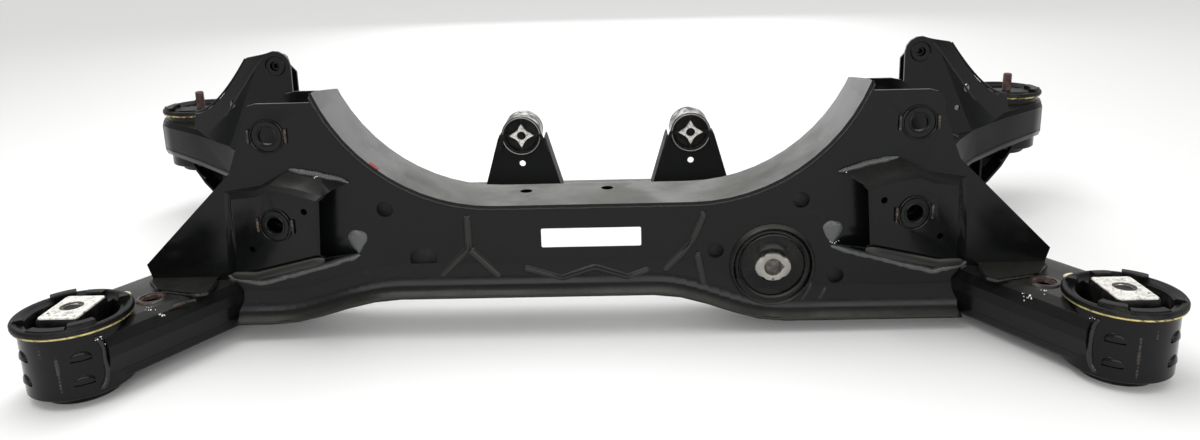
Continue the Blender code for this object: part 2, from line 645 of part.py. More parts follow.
def link_pocket(carrier, paint, side, label):
    """Stand-off pocket over the lower link's hole, open toward the middle."""
    pocket = piece("link_pocket_" + label, pocket_solid(side, 0, 0), carrier, paint)
    boolean(pocket, piece("link_pocket_hollow_" + label, pocket_solid(side, POCKET_SHEET, REACH), carrier))
    near_y = FACE_Y - POCKET_INNER_STANDOFF - REACH
    x, z = LOWER_LINK
    boolean(pocket, piece("link_pocket_seat_" + label, pocket_relief(side, circle_outline(x, z, LINK_BOSS_RADIUS),
                                                                     LINK_BOSS_RISE), carrier), "UNION")
    for number, guide in enumerate(guide_outlines(x, z)):
        boolean(pocket, piece("link_pocket_guide_%d_%s" % (number, label),
                              pocket_relief(side, guide, GUIDE_RISE), carrier), "UNION")
    drill(pocket, "link_pocket_hole_" + label, carrier, circle_outline(side * x, z, POCKET_HOLE_RADIUS), near_y, FACE_Y)
    for number, (x, z) in enumerate(POCKET_PINS):
        drill(pocket, "link_pocket_pin_%d_%s" % (number, label), carrier,
              circle_outline(side * x, z, POCKET_PIN_RADIUS, 10), near_y, FACE_Y)


def rail_stations(side, inset, lead, tip):
    """Section stations of a side rail: smooth between its bends, then round the far mount."""
    bends = [Vector(bend) for bend in RAIL_BENDS]
    stations = []
    for index in range(len(bends) - 1):
        before = bends[max(0, index - 1)]
        after = bends[min(len(bends) - 1, index + 2)]
        for share in (0.0, 0.5):
            stations.append(curve_point(before, bends[index], bends[index + 1], after, share))
    stations.append(bends[-1])
    run = (stations[-1] - stations[-2]).xy.normalized()
    first = stations[0].copy()
    first.y -= lead
    rows = [(first.x, first.y, Vector((0, 1)), first[4] - inset, first[2] + inset, first[3] - inset)] if lead else []
    for index, station in enumerate(stations):
        ahead = stations[min(index + 1, len(stations) - 1)]
        back = stations[max(index - 1, 0)]
        heading = Vector((0, 1)) if index == 0 else (ahead - back).xy.normalized()
        heading = run if index == len(stations) - 1 else heading
        rows.append((station.x, station.y, heading, station[4] - inset, station[2] + inset, station[3] - inset))
    radius = NOSE_RADIUS - inset
    for degrees in NOSE_SWINGS:
        swing = math.radians(degrees)
        spot = Vector((FRONT_X, FRONT_Y)) + run * radius * math.sin(swing)
        rows.append((spot.x, spot.y, run, radius * math.cos(swing), bends[-1][2] + inset, bends[-1][3] - inset))
    if tip:
        spot = Vector((FRONT_X, FRONT_Y)) + run * (radius + tip)
        rows.append((spot.x, spot.y, run, radius * math.cos(swing), bends[-1][2] + inset, bends[-1][3] - inset))
    return rows


def curve_point(before, start, end, after, share):
    """A point on the smooth curve through start and end."""
    square = share * share
    cube = square * share
    return (start * 2 + (end - before) * share + (before * 2 - start * 5 + end * 4 - after) * square
            + (start * 3 - before - end * 3 + after) * cube) / 2


def rail_solid(side, inset, lead=0.0):
    steps = 1 if inset > 0 else 2
    loops = []
    for x, y, heading, half, low, high in rail_stations(side, inset, lead, 0):
        across = Vector((heading.y, -heading.x))
        corner = min(max(GAP, RAIL_CORNER - inset), half * RAIL_CORNER_LIMIT)
        section = rounded_outline([(-half, low, corner), (half, low, corner), (half, high, corner),
                                   (-half, high, corner)], steps)
        loops.append([(side * (x + across.x * q), y + across.y * q, z) for q, z in section])
    return loft(loops)


def rail_slab(side, half_name):
    """Everything below or above a rail's seam, to trim one half from the other."""
    loops = []
    for x, y, heading, half, low, high in rail_stations(side, 0, REACH, REACH):
        across = Vector((heading.y, -heading.x))
        seam = low + (high - low) * SEAM_SHARE
        cut, beyond = (seam + GAP / 2, low - REACH) if half_name == "upper" else (seam - GAP / 2, high + REACH)
        wide = half + RAIL_CORNER
        loops.append([(side * (x + across.x * q), y + across.y * q, z)
                      for q, z in ((wide, cut), (-wide, cut), (-wide, beyond), (wide, beyond))])
    return loft(loops)


def side_rail(carrier, paint, side, label):
    """Box rail from the near crossmember to the far mount, in an upper and a lower pressing."""
    hollow = piece("side_rail_hollow_" + label, rail_solid(side, SHEET, REACH / 2), carrier)
    seat = piece("side_rail_seat_" + label,
                 prism(circle_outline(side * FRONT_X, FRONT_Y, SLEEVE_RADIUS + GAP, ROUND_STEPS),
                       FRONT_SLEEVE_BOTTOM_Z - REACH, FRONT_SEAT_Z + REACH, "XY"), carrier)
    for half in ("upper", "lower"):
        shell = piece("side_rail_%s_%s" % (half, label), rail_solid(side, 0), carrier, paint)
        boolean(shell, hollow)
        boolean(shell, seat)
        boolean(shell, piece("side_rail_trim_%s_%s" % (half, label), rail_slab(side, half), carrier))


def bracket_outline():
    """Near plate of a far link bracket: a round eye, a shoulder and a hollow-backed outer edge."""
    eye_x, eye_z = BRACKET_HOLE
    eye = [(eye_x - BRACKET_ROUND * math.cos(math.radians(a)), eye_z + BRACKET_ROUND * math.sin(math.radians(a)))
           for a in range(0, 121, 24)]
    (x0, z0), (x1, z1) = BRACKET_SHOULDER, BRACKET_TOE
    steps = 7
    edge = [(x0 + (x1 - x0) * step / steps, z1 + (z0 - z1) * (1 - step / steps) ** BRACKET_SWEEP)
            for step in range(steps + 1)]
    return eye + edge + list(BRACKET_FOOT)


def fold_back(bm, side):
    """Fold the plate along its two slanting lines, so that what lies outside them runs back."""
    for (x0, z0), (x1, z1), slope in BRACKET_FOLDS:
        start = Vector((side * x0, 0, z0))
        square = Vector((side * (z0 - z1), 0, x1 - x0)).normalized()
        bmesh.ops.bisect_plane(bm, geom=list(bm.verts) + list(bm.edges) + list(bm.faces), dist=1e-6,
                               plane_co=start, plane_no=square)
        for vert in bm.verts:
            vert.co.y += max(0.0, (vert.co - start).dot(square)) * slope
    return bm


def link_bolt_cutter(side):
    """The far link's bolt, which runs a little outward through both plates."""
    x, z = BRACKET_HOLE
    return loft([[(side * (a + (y - BRACKET_Y) * BRACKET_BOLT_SKEW), y, b)
                  for a, b in circle_outline(x, z, BRACKET_BOLT_RADIUS)]
                 for y in (BRACKET_Y - REACH, BRACKET_Y + BRACKET_CLEVIS + REACH)])


def front_bracket(carrier, paint, side, label):
    """Two plates that hold the far link, scribed to the rail below, and a brace under the far arm."""
    rail = piece("rail_clearance_" + label, rail_solid(side, -GAP), carrier)
    near = fold_back(prism(mirrored(bracket_outline(), side), BRACKET_Y, BRACKET_Y + PLATE), side)
    plate = piece("front_link_plate_near_" + label, near, carrier, paint)
    boolean(plate, rail)
    bolt = piece("front_link_bolt_hole_" + label, link_bolt_cutter(side), carrier)
    boolean(plate, bolt)
    for number, (x, z, radius) in enumerate(BRACKET_OPENINGS):
        drill(plate, "front_link_hole_%d_%s" % (number, label), carrier,
              circle_outline(side * x, z, radius, 12), BRACKET_Y - REACH, BRACKET_Y + 3 * REACH)
    far_y = BRACKET_Y + BRACKET_CLEVIS
    back = piece("front_link_plate_far_" + label,
                 prism(mirrored(rounded_outline(FAR_PLATE), side), far_y, far_y + PLATE), carrier, paint)
    boolean(back, rail)
    boolean(back, bolt)
    brace(carrier, paint, side, label, rail)


def brace(carrier, paint, side, label, rail):
    """Tray-shaped gusset from the far crossmember's end up to the far mount."""
    far_y = BRACE_Y + BRACE_DEPTH
    gusset = piece("arm_brace_" + label, prism(mirrored(BRACE_OUTLINE, side), BRACE_Y, far_y), carrier, paint)
    inner = mirrored(grown(list(BRACE_OUTLINE), -SHEET), side)
    hollow = piece("arm_brace_hollow_" + label, prism(inner, BRACE_Y - REACH, far_y - SHEET), carrier)
    rib_x = side * BRACE_RIB_X
    rib = block((rib_x - SHEET / 2, BRACE_Y - 2 * REACH, -REACH), (rib_x + SHEET / 2, far_y + REACH, FRONT_SEAT_Z))
    boolean(hollow, piece("arm_brace_rib_" + label, rib, carrier))
    boolean(gusset, hollow)
    boolean(gusset, rail)
    boot_z = FRONT_SLEEVE_BOTTOM_Z - FRONT_BOOT_DROP
    reliefs = (("sleeve", SLEEVE_RADIUS, FRONT_SLEEVE_BOTTOM_Z), ("boot", BOOT_RADIUS + RUBBER_DISH, boot_z))
    for name, radius, low in reliefs:
        drill(gusset, "arm_brace_%s_relief_%s" % (name, label), carrier,
              circle_outline(side * FRONT_X, FRONT_Y, radius + GAP, ROUND_STEPS), low - GAP, FRONT_SEAT_Z, "XY")


def far_crossmember(carrier, paint):
    """Low box between the side rails, in an upper and a lower pressing."""
    half = CROSS_WIDTH / 2
    seam = CROSS_TOP_Z * CROSS_SEAM_SHARE
    rails = [piece("cross_rail_clearance_" + label, rail_solid(side, -GAP), carrier)
             for side, label in ((-1, "left"), (1, "right"))]
    for name, low, high in (("upper", -1.0, seam + GAP / 2), ("lower", seam - GAP / 2, 1.0)):
        shell = piece("far_crossmember_" + name, cross_solid(half, 0, CROSS_END_X), carrier, paint)
        boolean(shell, piece("far_crossmember_hollow_" + name, cross_solid(half, SHEET, CROSS_END_X + REACH), carrier))
        boolean(shell, piece("far_crossmember_trim_" + name, block((-1, -1, low), (1, 1, high)), carrier))
        for rail in rails:
            boolean(shell, rail)


def cross_solid(half, inset, end_x):
    corner = CROSS_CORNER - inset
    section = rounded_outline([(CROSS_Y - half + inset, inset, corner), (CROSS_Y + half - inset, inset, corner),
                               (CROSS_Y + half - inset, CROSS_TOP_Z - inset, corner),
                               (CROSS_Y - half + inset, CROSS_TOP_Z - inset, corner)], 2)
    return loft([[(x, y, z) for y, z in section] for x in (-end_x, end_x)])


def core_foot(boot):
    """Underside of a mount's core, a little inside the rubber's lower boot."""
    return boot + CORE_FOOT_RISE


def body_mount(carrier, name, centre, seat, bottom, boot, turned_core=False):
    """Sleeve, flanged can, rubber and aluminium core of one body mount.

    A turned core lies across the part and has a slot in place of its round bolt hole.
    """
    x, y = centre
    wall_in = SLEEVE_RADIUS - SLEEVE_WALL
    can_out = wall_in - GAP
    can_in = can_out - CAN_WALL
    can_top = seat + GAP + CAN_FLANGE
    sleeve = piece(name + "_sleeve", turned([(SLEEVE_RADIUS, bottom), (SLEEVE_RADIUS, seat), (wall_in, seat),
                                             (wall_in, bottom)], (x, y, 0)), carrier, BLACK_PAINT)
    can = [(can_out, bottom + SHEET), (can_out, seat + GAP), (CAN_FLANGE_RADIUS, seat + GAP),
           (CAN_FLANGE_RADIUS, can_top), (can_in, can_top), (can_in, bottom + SHEET)]
    piece(name + "_bush_can", turned(can, (x, y, 0)), carrier, ZINC)
    rubber = piece(name + "_bush_rubber", turned(rubber_profile(can_in, can_top, bottom, boot), (x, y, 0)),
                   carrier, RUBBER)
    core = around(centre, core_outline(), turned_core)
    core_top = can_top + GAP + CORE_RISE
    boolean(rubber, piece(name + "_core_seat", prism(grown(core, GAP), boot - REACH, core_top + REACH, "XY"), carrier))
    for side, label in ((-1, "left"), (1, "right")):
        stop = prism(around(centre, tab_outline(side), turned_core), can_top + GAP + RUBBER_DISH / 2,
                     can_top + GAP + RUBBER_FLANGE + TAB_RISE, "XY")
        boolean(rubber, piece("%s_stop_%s" % (name, label), stop, carrier), "UNION")
        void = prism(around(centre, void_outline(side), turned_core), seat - VOID_DEPTH, core_top + REACH, "XY")
        boolean(rubber, piece("%s_void_%s" % (name, label), void, carrier))
    block_core = piece(name + "_bush_core", prism(core, core_foot(boot), core_top, "XY"), carrier,
                       ALUMINIUM)
    stretch = SLOT_HALF if turned_core else 0.0
    drill(block_core, name + "_bolt_hole", carrier, slot_outline(x, y, MOUNT_HOLE_RADIUS, stretch), boot - REACH,
          core_top + REACH, "XY")
    return sleeve


def rubber_profile(can_in, can_top, bottom, boot):
    """Half section of the mount's rubber: flange with a raised lip, plug and lower boot."""
    under = can_top + GAP
    plug = can_in - GAP
    heart = CORE_HALF_X / 4
    dish = under + RUBBER_DISH
    return [(heart, boot), (BOOT_RADIUS, boot), (BOOT_RADIUS + RUBBER_DISH, bottom + 0.001),
            (plug, bottom + 2 * RUBBER_DISH), (plug, under),
            (RUBBER_FLANGE_RADIUS, under), (RUBBER_FLANGE_RADIUS, under + RUBBER_FLANGE * RUBBER_RIM_SHARE),
            (RUBBER_FLANGE_RADIUS - RUBBER_DISH, under + RUBBER_FLANGE), (LIP_RING_RADIUS, under + RUBBER_FLANGE),
            (LIP_RING_RADIUS - 0.001, dish), (heart, dish)]


def around(centre, outline, turned_core):
    """An outline about a mount's own axis, set in its place; a turned core lies across the part."""
    x, y = centre
    return [(x + b, y - a) if turned_core else (x + a, y + b) for a, b in outline]


def core_outline():
    half_x, half_y = CORE_HALF_X, CORE_HALF_Y
    return rounded_outline([(-half_x, -half_y, CORE_CORNER), (half_x, -half_y, CORE_CORNER),
                            (half_x, half_y, CORE_CORNER), (-half_x, half_y, CORE_CORNER)], 2)


def void_outline(side):
    """Kidney-shaped void beside the core."""
    arc = [(side * VOID_RADIUS * math.cos(math.radians(a)), VOID_RADIUS * math.sin(math.radians(a)))
           for a in range(-VOID_SWING, VOID_SWING + 1, 12)]
    inner = CORE_HALF_X + VOID_GAP
    return arc + [(side * inner, VOID_HALF), (side * inner, -VOID_HALF)]


def tab_outline(side):
    """Rubber stop beyond one end of the core."""
    half_x, half_y = TAB_SIZE[0] / 2, TAB_SIZE[1] / 2
    middle = side * TAB_CENTRE
    return rounded_outline([(-half_x, middle - half_y, CORE_CORNER), (half_x, middle - half_y, CORE_CORNER),
                            (half_x, middle + half_y, CORE_CORNER), (-half_x, middle + half_y, CORE_CORNER)], 1)


def slot_outline(x, y, radius, stretch):
    """A round hole, drawn out along X by a stretch to either side."""
    return [(a + math.copysign(stretch, a - x), b) for a, b in circle_outline(x, y, radius) if abs(a - x) > 1e-6]


def mount_bolt(carrier, side, label):
    """The bolt left in a far mount, its threaded end up through the core."""
    top = FRONT_SEAT_Z + BOLT_STICK_OUT
    head = core_foot(FRONT_SLEEVE_BOTTOM_Z - FRONT_BOOT_DROP) - GAP
    foot = head - BOLT_HEAD_HEIGHT
    shank = MOUNT_HOLE_RADIUS - BOLT_CLEARANCE
    profile = [(0.0, foot), (BOLT_HEAD_RADIUS, foot), (BOLT_HEAD_RADIUS, head), (shank, head),
               (shank, top - BOLT_CHAMFER), (shank - BOLT_CHAMFER, top), (0.0, top)]
    bm = turned_solid(profile, (side * FRONT_X + BOLT_SHIFTS[label], FRONT_Y, 0), HOLE_STEPS)
    piece("front_mount_bolt_" + label, bm, carrier, RUST)


def turned_solid(profile, centre, steps):
    """Spin an open profile that starts and ends on the axis."""
    bm = bmesh.new()
    corners = [bm.verts.new((radius, 0, height)) for radius, height in profile]
    edges = [bm.edges.new(pair) for pair in zip(corners, corners[1:])]
    bmesh.ops.spin(bm, geom=corners + edges, cent=(0, 0, 0), axis=(0, 0, 1), angle=2 * math.pi, steps=steps,
                   use_merge=True)
    bmesh.ops.remove_doubles(bm, verts=bm.verts, dist=1e-6)
    bmesh.ops.translate(bm, verts=bm.verts, vec=centre)
    return bm


def body_mounts(carrier):
    for side, label in ((-1, "left"), (1, "right")):
        body_mount(carrier, "rear_mount_" + label, (side * REAR_X, 0), REAR_SEAT_Z, REAR_SLEEVE_BOTTOM_Z, 0.0)
        body_mount(carrier, "front_mount_" + label, (side * FRONT_X, FRONT_Y), FRONT_SEAT_Z,
                   FRONT_SLEEVE_BOTTOM_Z, FRONT_SLEEVE_BOTTOM_Z - FRONT_BOOT_DROP, True)
        mount_bolt(carrier, side, label)


def diff_mounts(carrier, paint):
    """The large bush in the near crossmember and the two small ones on the far crossmember."""
    near_y = FACE_Y - DIFF_LEAD
    far_y = FACE_Y + BOX_DEPTH + DIFF_TAIL
    wall_in = DIFF_RADIUS - DIFF_WALL
    middle = (DIFF_X, 0, DIFF_Z)
    ring = [(DIFF_RADIUS, near_y), (DIFF_RADIUS, far_y), (wall_in, far_y), (wall_in, near_y)]
    piece("diff_bush_sleeve", turned(ring, middle, "Y"), carrier, paint)
    sink = DIFF_RUBBER_SINK
    groove = (wall_in + DIFF_CORE_RADIUS) / 2
    rubber = [(wall_in - GAP, near_y + sink), (wall_in - GAP, far_y - sink), (DIFF_CORE_RADIUS + GAP, far_y - sink),
              (DIFF_CORE_RADIUS + GAP, near_y + sink), (groove, near_y + 2 * sink), (groove + sink, near_y + sink)]
    piece("diff_bush_rubber", turned(rubber, middle, "Y"), carrier, RUBBER)
    core_near = near_y - DIFF_CORE_LEAD
    core_far = far_y + DIFF_CORE_LEAD
    core = [(DIFF_CORE_RADIUS, core_near), (DIFF_CORE_RADIUS, core_far), (DIFF_BOLT_RADIUS, core_far),
            (DIFF_BOLT_RADIUS, core_near)]
    piece("diff_bush_core", turned(core, middle, "Y", FRONT_DIFF_STEPS), carrier, ALUMINIUM)
    for side, label in ((-1, "left"), (1, "right")):
        small_diff_mount(carrier, paint, FRONT_DIFF_MIDDLE_X + side * FRONT_DIFF_SPREAD, label)


def small_diff_mount(carrier, paint, x, label):
    near_y = FRONT_DIFF_Y
    far_y = near_y + FRONT_DIFF_LENGTH
    wall_in = FRONT_DIFF_RADIUS - FRONT_DIFF_WALL
    middle = (x, 0, FRONT_DIFF_Z)
    tube = [(FRONT_DIFF_RADIUS, near_y), (FRONT_DIFF_RADIUS, far_y), (wall_in, far_y), (wall_in, near_y)]
    piece("diff_tube_" + label, turned(tube, middle, "Y", FRONT_DIFF_STEPS), carrier, paint)
    sink = DIFF_RUBBER_SINK
    heart = FRONT_DIFF_CORE / 4
    plug = [(wall_in - GAP, near_y + sink), (wall_in - GAP, far_y - sink), (heart, far_y - sink),
            (heart, near_y + sink)]
    rubber = piece("diff_rubber_" + label, turned(plug, middle, "Y", FRONT_DIFF_STEPS), carrier, RUBBER)
    half = FRONT_DIFF_CORE
    z = FRONT_DIFF_Z
    diamond = [(x - half, z), (x, z - half), (x + half, z), (x, z + half)]
    seat = piece("diff_core_seat_" + label, prism(grown(diamond, GAP), near_y - REACH, far_y + REACH), carrier)
    boolean(rubber, seat)
    core = piece("diff_core_" + label, prism(diamond, near_y + DIFF_CORE_LEAD, far_y - DIFF_CORE_LEAD), carrier,
                 ALUMINIUM)
    drill(core, "diff_bolt_hole_" + label, carrier, circle_outline(x, z, FRONT_DIFF_BOLT_RADIUS), near_y - REACH,
          far_y + REACH)
    plate_y = near_y + DIFF_BRACKET_LEAD
    bracket = piece("diff_bracket_" + label,
                    prism(diff_bracket_outline(x, 0), plate_y, plate_y + DIFF_BRACKET_DEPTH), carrier, paint)
    boolean(bracket, piece("diff_bracket_hollow_" + label,
                           prism(diff_bracket_outline(x, SHEET), plate_y + SHEET, far_y + REACH), carrier))
    drill(bracket, "diff_bracket_seat_" + label, carrier,
          circle_outline(x, z, FRONT_DIFF_RADIUS + GAP, FRONT_DIFF_STEPS), near_y - REACH, far_y + REACH)
    hole_z, hole_radius = DIFF_BRACKET_HOLE
    drill(bracket, "diff_bracket_hole_" + label, carrier, circle_outline(x, hole_z, hole_radius, 12),
          near_y - REACH, plate_y + REACH / 2)


def diff_bracket_outline(x, inset):
    """Bracket that narrows from the crossmember up to both flanks of its tube."""
    foot = CROSS_TOP_Z + GAP + inset
    top = DIFF_BRACKET_TOP_Z + (REACH if inset else 0)
    half_foot = DIFF_BRACKET_HALF_FOOT - inset
    half_top = half_foot - (top - foot) * DIFF_BRACKET_SLOPE
    return [(x - half_foot, foot), (x + half_foot, foot), (x + half_top, top), (x - half_top, top)]


def build_frame(carrier):
    paint = BLACK_PAINT
    near_crossmember(carrier, paint)
    for side, label in ((-1, "left"), (1, "right")):
        rear_arm(carrier, paint, side, label)
        link_pocket(carrier, paint, side, label)
        side_rail(carrier, paint, side, label)
        front_bracket(carrier, paint, side, label)
    far_crossmember(carrier, paint)
    diff_mounts(carrier, paint)
    body_mounts(carrier)


def main():
    clear_scene()
    carrier = bpy.data.objects.new("row_origin", None)
    bpy.context.collection.objects.link(carrier)
    carrier.location = (0, -CENTRE_Y, 0)
    build_frame(carrier)


main()
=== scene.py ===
"""Looks of a rear axle subframe: glossy dip-painted pressings, weld beads and pressed-in rubber mounts.

Sizes are metres. Features are placed in the part's working frame, with Y = 0 on the near mounts' axes, and each
finished piece moves by ROW_Y into the row's frame.
"""
import json
from math import atan2, cos, degrees, hypot, pi, radians, sin, sqrt

import bmesh
import bpy
from mathutils import Matrix, Vector, noise
from mathutils.bvhtree import BVHTree


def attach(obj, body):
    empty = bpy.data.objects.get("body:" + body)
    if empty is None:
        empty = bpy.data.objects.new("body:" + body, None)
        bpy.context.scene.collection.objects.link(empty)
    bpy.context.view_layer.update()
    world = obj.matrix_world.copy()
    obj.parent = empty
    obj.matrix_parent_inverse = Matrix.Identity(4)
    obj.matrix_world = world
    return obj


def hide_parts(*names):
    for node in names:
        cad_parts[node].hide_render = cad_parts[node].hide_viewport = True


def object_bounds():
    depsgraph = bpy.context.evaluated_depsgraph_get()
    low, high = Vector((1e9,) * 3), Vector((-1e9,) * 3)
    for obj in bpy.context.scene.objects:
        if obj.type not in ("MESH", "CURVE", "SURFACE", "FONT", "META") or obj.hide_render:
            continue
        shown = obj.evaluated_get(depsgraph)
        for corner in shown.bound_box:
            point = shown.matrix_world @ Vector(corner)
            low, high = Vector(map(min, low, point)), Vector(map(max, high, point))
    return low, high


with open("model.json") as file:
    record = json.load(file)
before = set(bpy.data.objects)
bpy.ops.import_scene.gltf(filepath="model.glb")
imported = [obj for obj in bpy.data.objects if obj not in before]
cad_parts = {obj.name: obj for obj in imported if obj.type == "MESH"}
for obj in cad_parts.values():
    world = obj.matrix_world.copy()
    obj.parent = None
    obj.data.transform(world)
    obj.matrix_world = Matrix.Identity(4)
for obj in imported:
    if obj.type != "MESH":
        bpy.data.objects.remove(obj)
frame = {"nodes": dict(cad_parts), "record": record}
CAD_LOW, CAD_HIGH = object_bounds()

noise.seed_set(1)                  # noise.noise_vector otherwise follows the clock

MM = 0.001
ROW_Y = -0.2715                    # the near mounts' axes in the row's frame

# The photograph's camera: place, turn and focal length in pixels of the 1200 x 440 frame
CAMERA_PLACE = (0.02515, -1.06177, 0.42831)
CAMERA_YAW, CAMERA_PITCH, CAMERA_ROLL = -0.018481, 0.239168, -0.025947
FOCAL_PIXELS = 921.03
FRAME_PIXELS = (1200, 440)
HORIZON_PIXEL = 135.49
SENSOR = 36.0

RUN_STEP = 1.2 * MM                # between the points of a round run
CUT_EDGE = 0.7 * MM                # rounding of a sheet's cut edges
SHEET_BEND = 2.0                   # mm; rounding of a sheet's bends
LOUVRE_START = 33.0                # degrees from straight ahead to the first column of louvres
LOUVRE_COLUMNS = 5
LOUVRE_ROWS = (0.0227, 0.0460)     # the heights of their open lower edges below a sleeve's top
TREES = {}
DULL = {"diff_bracket_left", "diff_bracket_right"}
BENDS = {"link_pocket_left": 3.5, "link_pocket_right": 3.5}    # mm; unlike SHEET_BEND
REPLACED = {"diff_bush_sleeve", "diff_tube_left", "diff_tube_right", "rear_mount_left_sleeve",
            "rear_mount_right_sleeve", "front_mount_left_sleeve", "front_mount_right_sleeve"}


# Places of the part's own features, in metres, with Y = 0 on the near mounts' axes
FACE_Y = 0.099
BOX_DEPTH = 0.072
SHEET = 0.003
GAP = 0.0003
ARCH_FLAT, ARCH_Z, ARCH_RADIUS, ARCH_SWEEP = 0.100, 0.141, 0.1875, 69.0
BEADS = (
    ((-0.129, 0.131), (-0.129, 0.095), (-0.160, 0.064)),
    ((-0.129, 0.095), (-0.097, 0.062)),
    ((0.113, 0.130), (0.098, 0.095), (0.070, 0.066)),
    ((0.105, 0.087), (0.112, 0.049)),
    ((-0.074, 0.073), (-0.034, 0.061), (0.0, 0.072), (0.034, 0.061), (0.057, 0.069)),
)
INNER_WALLS = ((-0.212, 0.139, 0.013), (0.210, 0.140, 0.013), (0.124, 0.088, 0.013), (0.247, 0.058, 0.013),
               (-0.1756, 0.0878, 0.020))
FLARES = (((0.129, 0.047), (0.140, 0.031), (0.149, 0.024)), ((0.223, 0.052), (0.217, 0.038), (0.209, 0.027)),
          ((0.238, 0.046), (0.233, 0.036), (0.228, 0.028)))
UPPER_LINK = (0.324, 0.218)
LOWER_LINK = (0.3175, 0.131)
GUIDE_OFFSET = 0.019
POCKET_TOP = ((0.246, 0.169), (0.273, 0.1765), (0.3055, 0.1835), (0.336, 0.167), (0.3745, 0.161))
POCKET_BOTTOM = ((0.380, 0.0712), (0.345, 0.063), (0.241, 0.092))
WING_FOOT = ((0.459, 0.094), (0.443, 0.074), (0.430, 0.066), (0.395, 0.056), (0.386, 0.062), (0.390, 0.094))
SLEEVE_RADIUS = 0.047
REAR_X, REAR_SEAT, REAR_BOTTOM = 0.486, 0.0710, 0.010
FRONT_X, FRONT_Y, FRONT_SEAT, FRONT_BOTTOM, FRONT_BOOT = 0.590, 0.540, 0.1550, 0.0810, 0.072
ARM_TOP = 0.066
ARM_HOLE = (0.439, 0.053)
DIFF_X, DIFF_Z = 0.182, 0.071
SPATTER = (((-0.428, 0.0300, 0.0650), 7, 0.010), ((-0.4115, 0.0190, 0.0640), 5, 0.006),
           ((-0.4475, -0.0292, 0.0640), 5, 0.006), ((-0.4460, -0.0262, 0.0560), 4, 0.005),
           ((0.430, 0.0300, 0.0650), 5, 0.008), ((0.410, 0.0250, 0.0640), 6, 0.009),
           ((0.4470, -0.0258, 0.0640), 5, 0.005), ((-0.2790, 0.0975, 0.1765), 6, 0.010),
           ((0.2520, 0.0975, 0.1700), 7, 0.010), ((0.2440, 0.0975, 0.0950), 5, 0.007))
SEALANT = (((-0.4610, 0.0455, 0.0745), (0.0075, 0.004, 0.0026)), ((0.4600, 0.0450, 0.0748), (0.0070, 0.004, 0.0034)))
SMALL_BUSH_X, SMALL_BUSH_Y, SMALL_BUSH_Z = (-0.110, 0.130), 0.476, 0.121

# Mottled materials: name, grain (mm, detail, roughness, distortion), colour stops, relief (grain, height in mm,
# strength) and shader values
MOTTLED = {
    # Plain steel under brown flaking rust
    "rust": ("rusty_bolt", (3.0, 10.0, 0.8, 0.6), ((0.35, "2a1f1b"), (0.5, "5c4640"), (0.65, "85706a")),
             (3.0, 10.0, 0.8, 0.6, 0.4, 0.9), {"Roughness": 0.85, "Metallic": 0.2}),
    # Oily brown-grey dirt packed in a hole or recess, dark there partly as painted shade
    "grime": ("grime_and_shade", (3.0, 8.0, 0.7), ((0.35, "1d1b19"), (0.5, "3d3833"), (0.7, "6e675f")),
              (1.0, 6.0, 0.7, 0.0, 0.2, 0.8), {"Roughness": 0.6}),
    # Cream cavity wax that has squeezed out and dried
    "sealant": ("dried_sealant", (4.0, 6.0, 0.6), ((0.35, "c9bf96"), (0.6, "ece3bf")),
                (2.0, 5.0, 0.6, 0.0, 0.3, 0.8), {"Roughness": 0.55}),
    # Dusty paint inside the box, seen through its holes
    "inner": ("inner_dust", (6.0, 6.0, 0.6), ((0.3, "141514"), (0.7, "292a27")), None, {"Roughness": 0.8}),
    # Painted shade: near-black standing for the unlit inside of a sleeve or hole, seen through a slit
    "shadow": ("painted_shade_slit", (2.0, 3.0, 0.6), ((0.3, "020202"), (0.7, "0a0a09")), None,
               {"Roughness": 0.9, "IOR": 1.05}),
}


def linear(code):
    """An sRGB hex colour as linear red, green, blue and alpha."""
    shares = [int(code[start:start + 2], 16) / 255 for start in (0, 2, 4)]
    return tuple(s / 12.92 if s <= 0.04045 else ((s + 0.055) / 1.055) ** 2.4 for s in shares) + (1.0,)


def add_node(tree, kind, values=(), links=(), **settings):
    """Add one node, set its settings and socket values, and link sockets of other nodes into it."""
    node = tree.nodes.new(kind)
    for name, value in settings.items():
        setattr(node, name, value)
    for socket, value in dict(values).items():
        node.inputs[socket].default_value = value
    for socket, source in dict(links).items():
        tree.links.new(source, node.inputs[socket])
    return node


def start_material(name, **values):
    """A new Principled material; returns the material, its tree, its shader and object coordinates."""
    material = bpy.data.materials.new(name)
    material.use_nodes = True
    tree = material.node_tree
    shader = tree.nodes["Principled BSDF"]
    for socket, value in values.items():
        shader.inputs[socket.replace("_", " ")].default_value = value
    place = add_node(tree, "ShaderNodeTexCoord").outputs["Object"]
    return material, tree, shader, place


def ramp(tree, source, stops):
    """A colour ramp with (position, hex) stops."""
    node = add_node(tree, "ShaderNodeValToRGB", links={"Fac": source})
    ramp_ends = node.color_ramp.elements
    for element, (position, code) in zip(ramp_ends, (stops[0], stops[-1])):
        element.position = position
        element.color = linear(code)
    for position, code in stops[1:-1]:
        ramp_ends.new(position).color = linear(code)
    return node.outputs["Color"]


def band(tree, source, low, high, floor=0.0, ceiling=1.0):
    """Remap a value smoothly from low..high to floor..ceiling."""
    node = add_node(tree, "ShaderNodeMapRange",
                    {"From Min": low, "From Max": high, "To Min": floor, "To Max": ceiling},
                    {"Value": source}, interpolation_type="SMOOTHSTEP")
    return node.outputs["Result"]


def grain(tree, place, size_mm, detail=4.0, roughness=0.6, distortion=0.0):
    """Noise whose blotches are about size_mm across."""
    return add_node(tree, "ShaderNodeTexNoise",
                    {"Scale": 0.5 / (size_mm * MM), "Detail": detail, "Roughness": roughness,
                     "Distortion": distortion},
                    {"Vector": place}).outputs["Fac"]


def times(tree, first, second):
    node = add_node(tree, "ShaderNodeMath", links={0: first}, operation="MULTIPLY")
    if isinstance(second, float):
        node.inputs[1].default_value = second
    else:
        tree.links.new(second, node.inputs[1])
    return node.outputs[0]


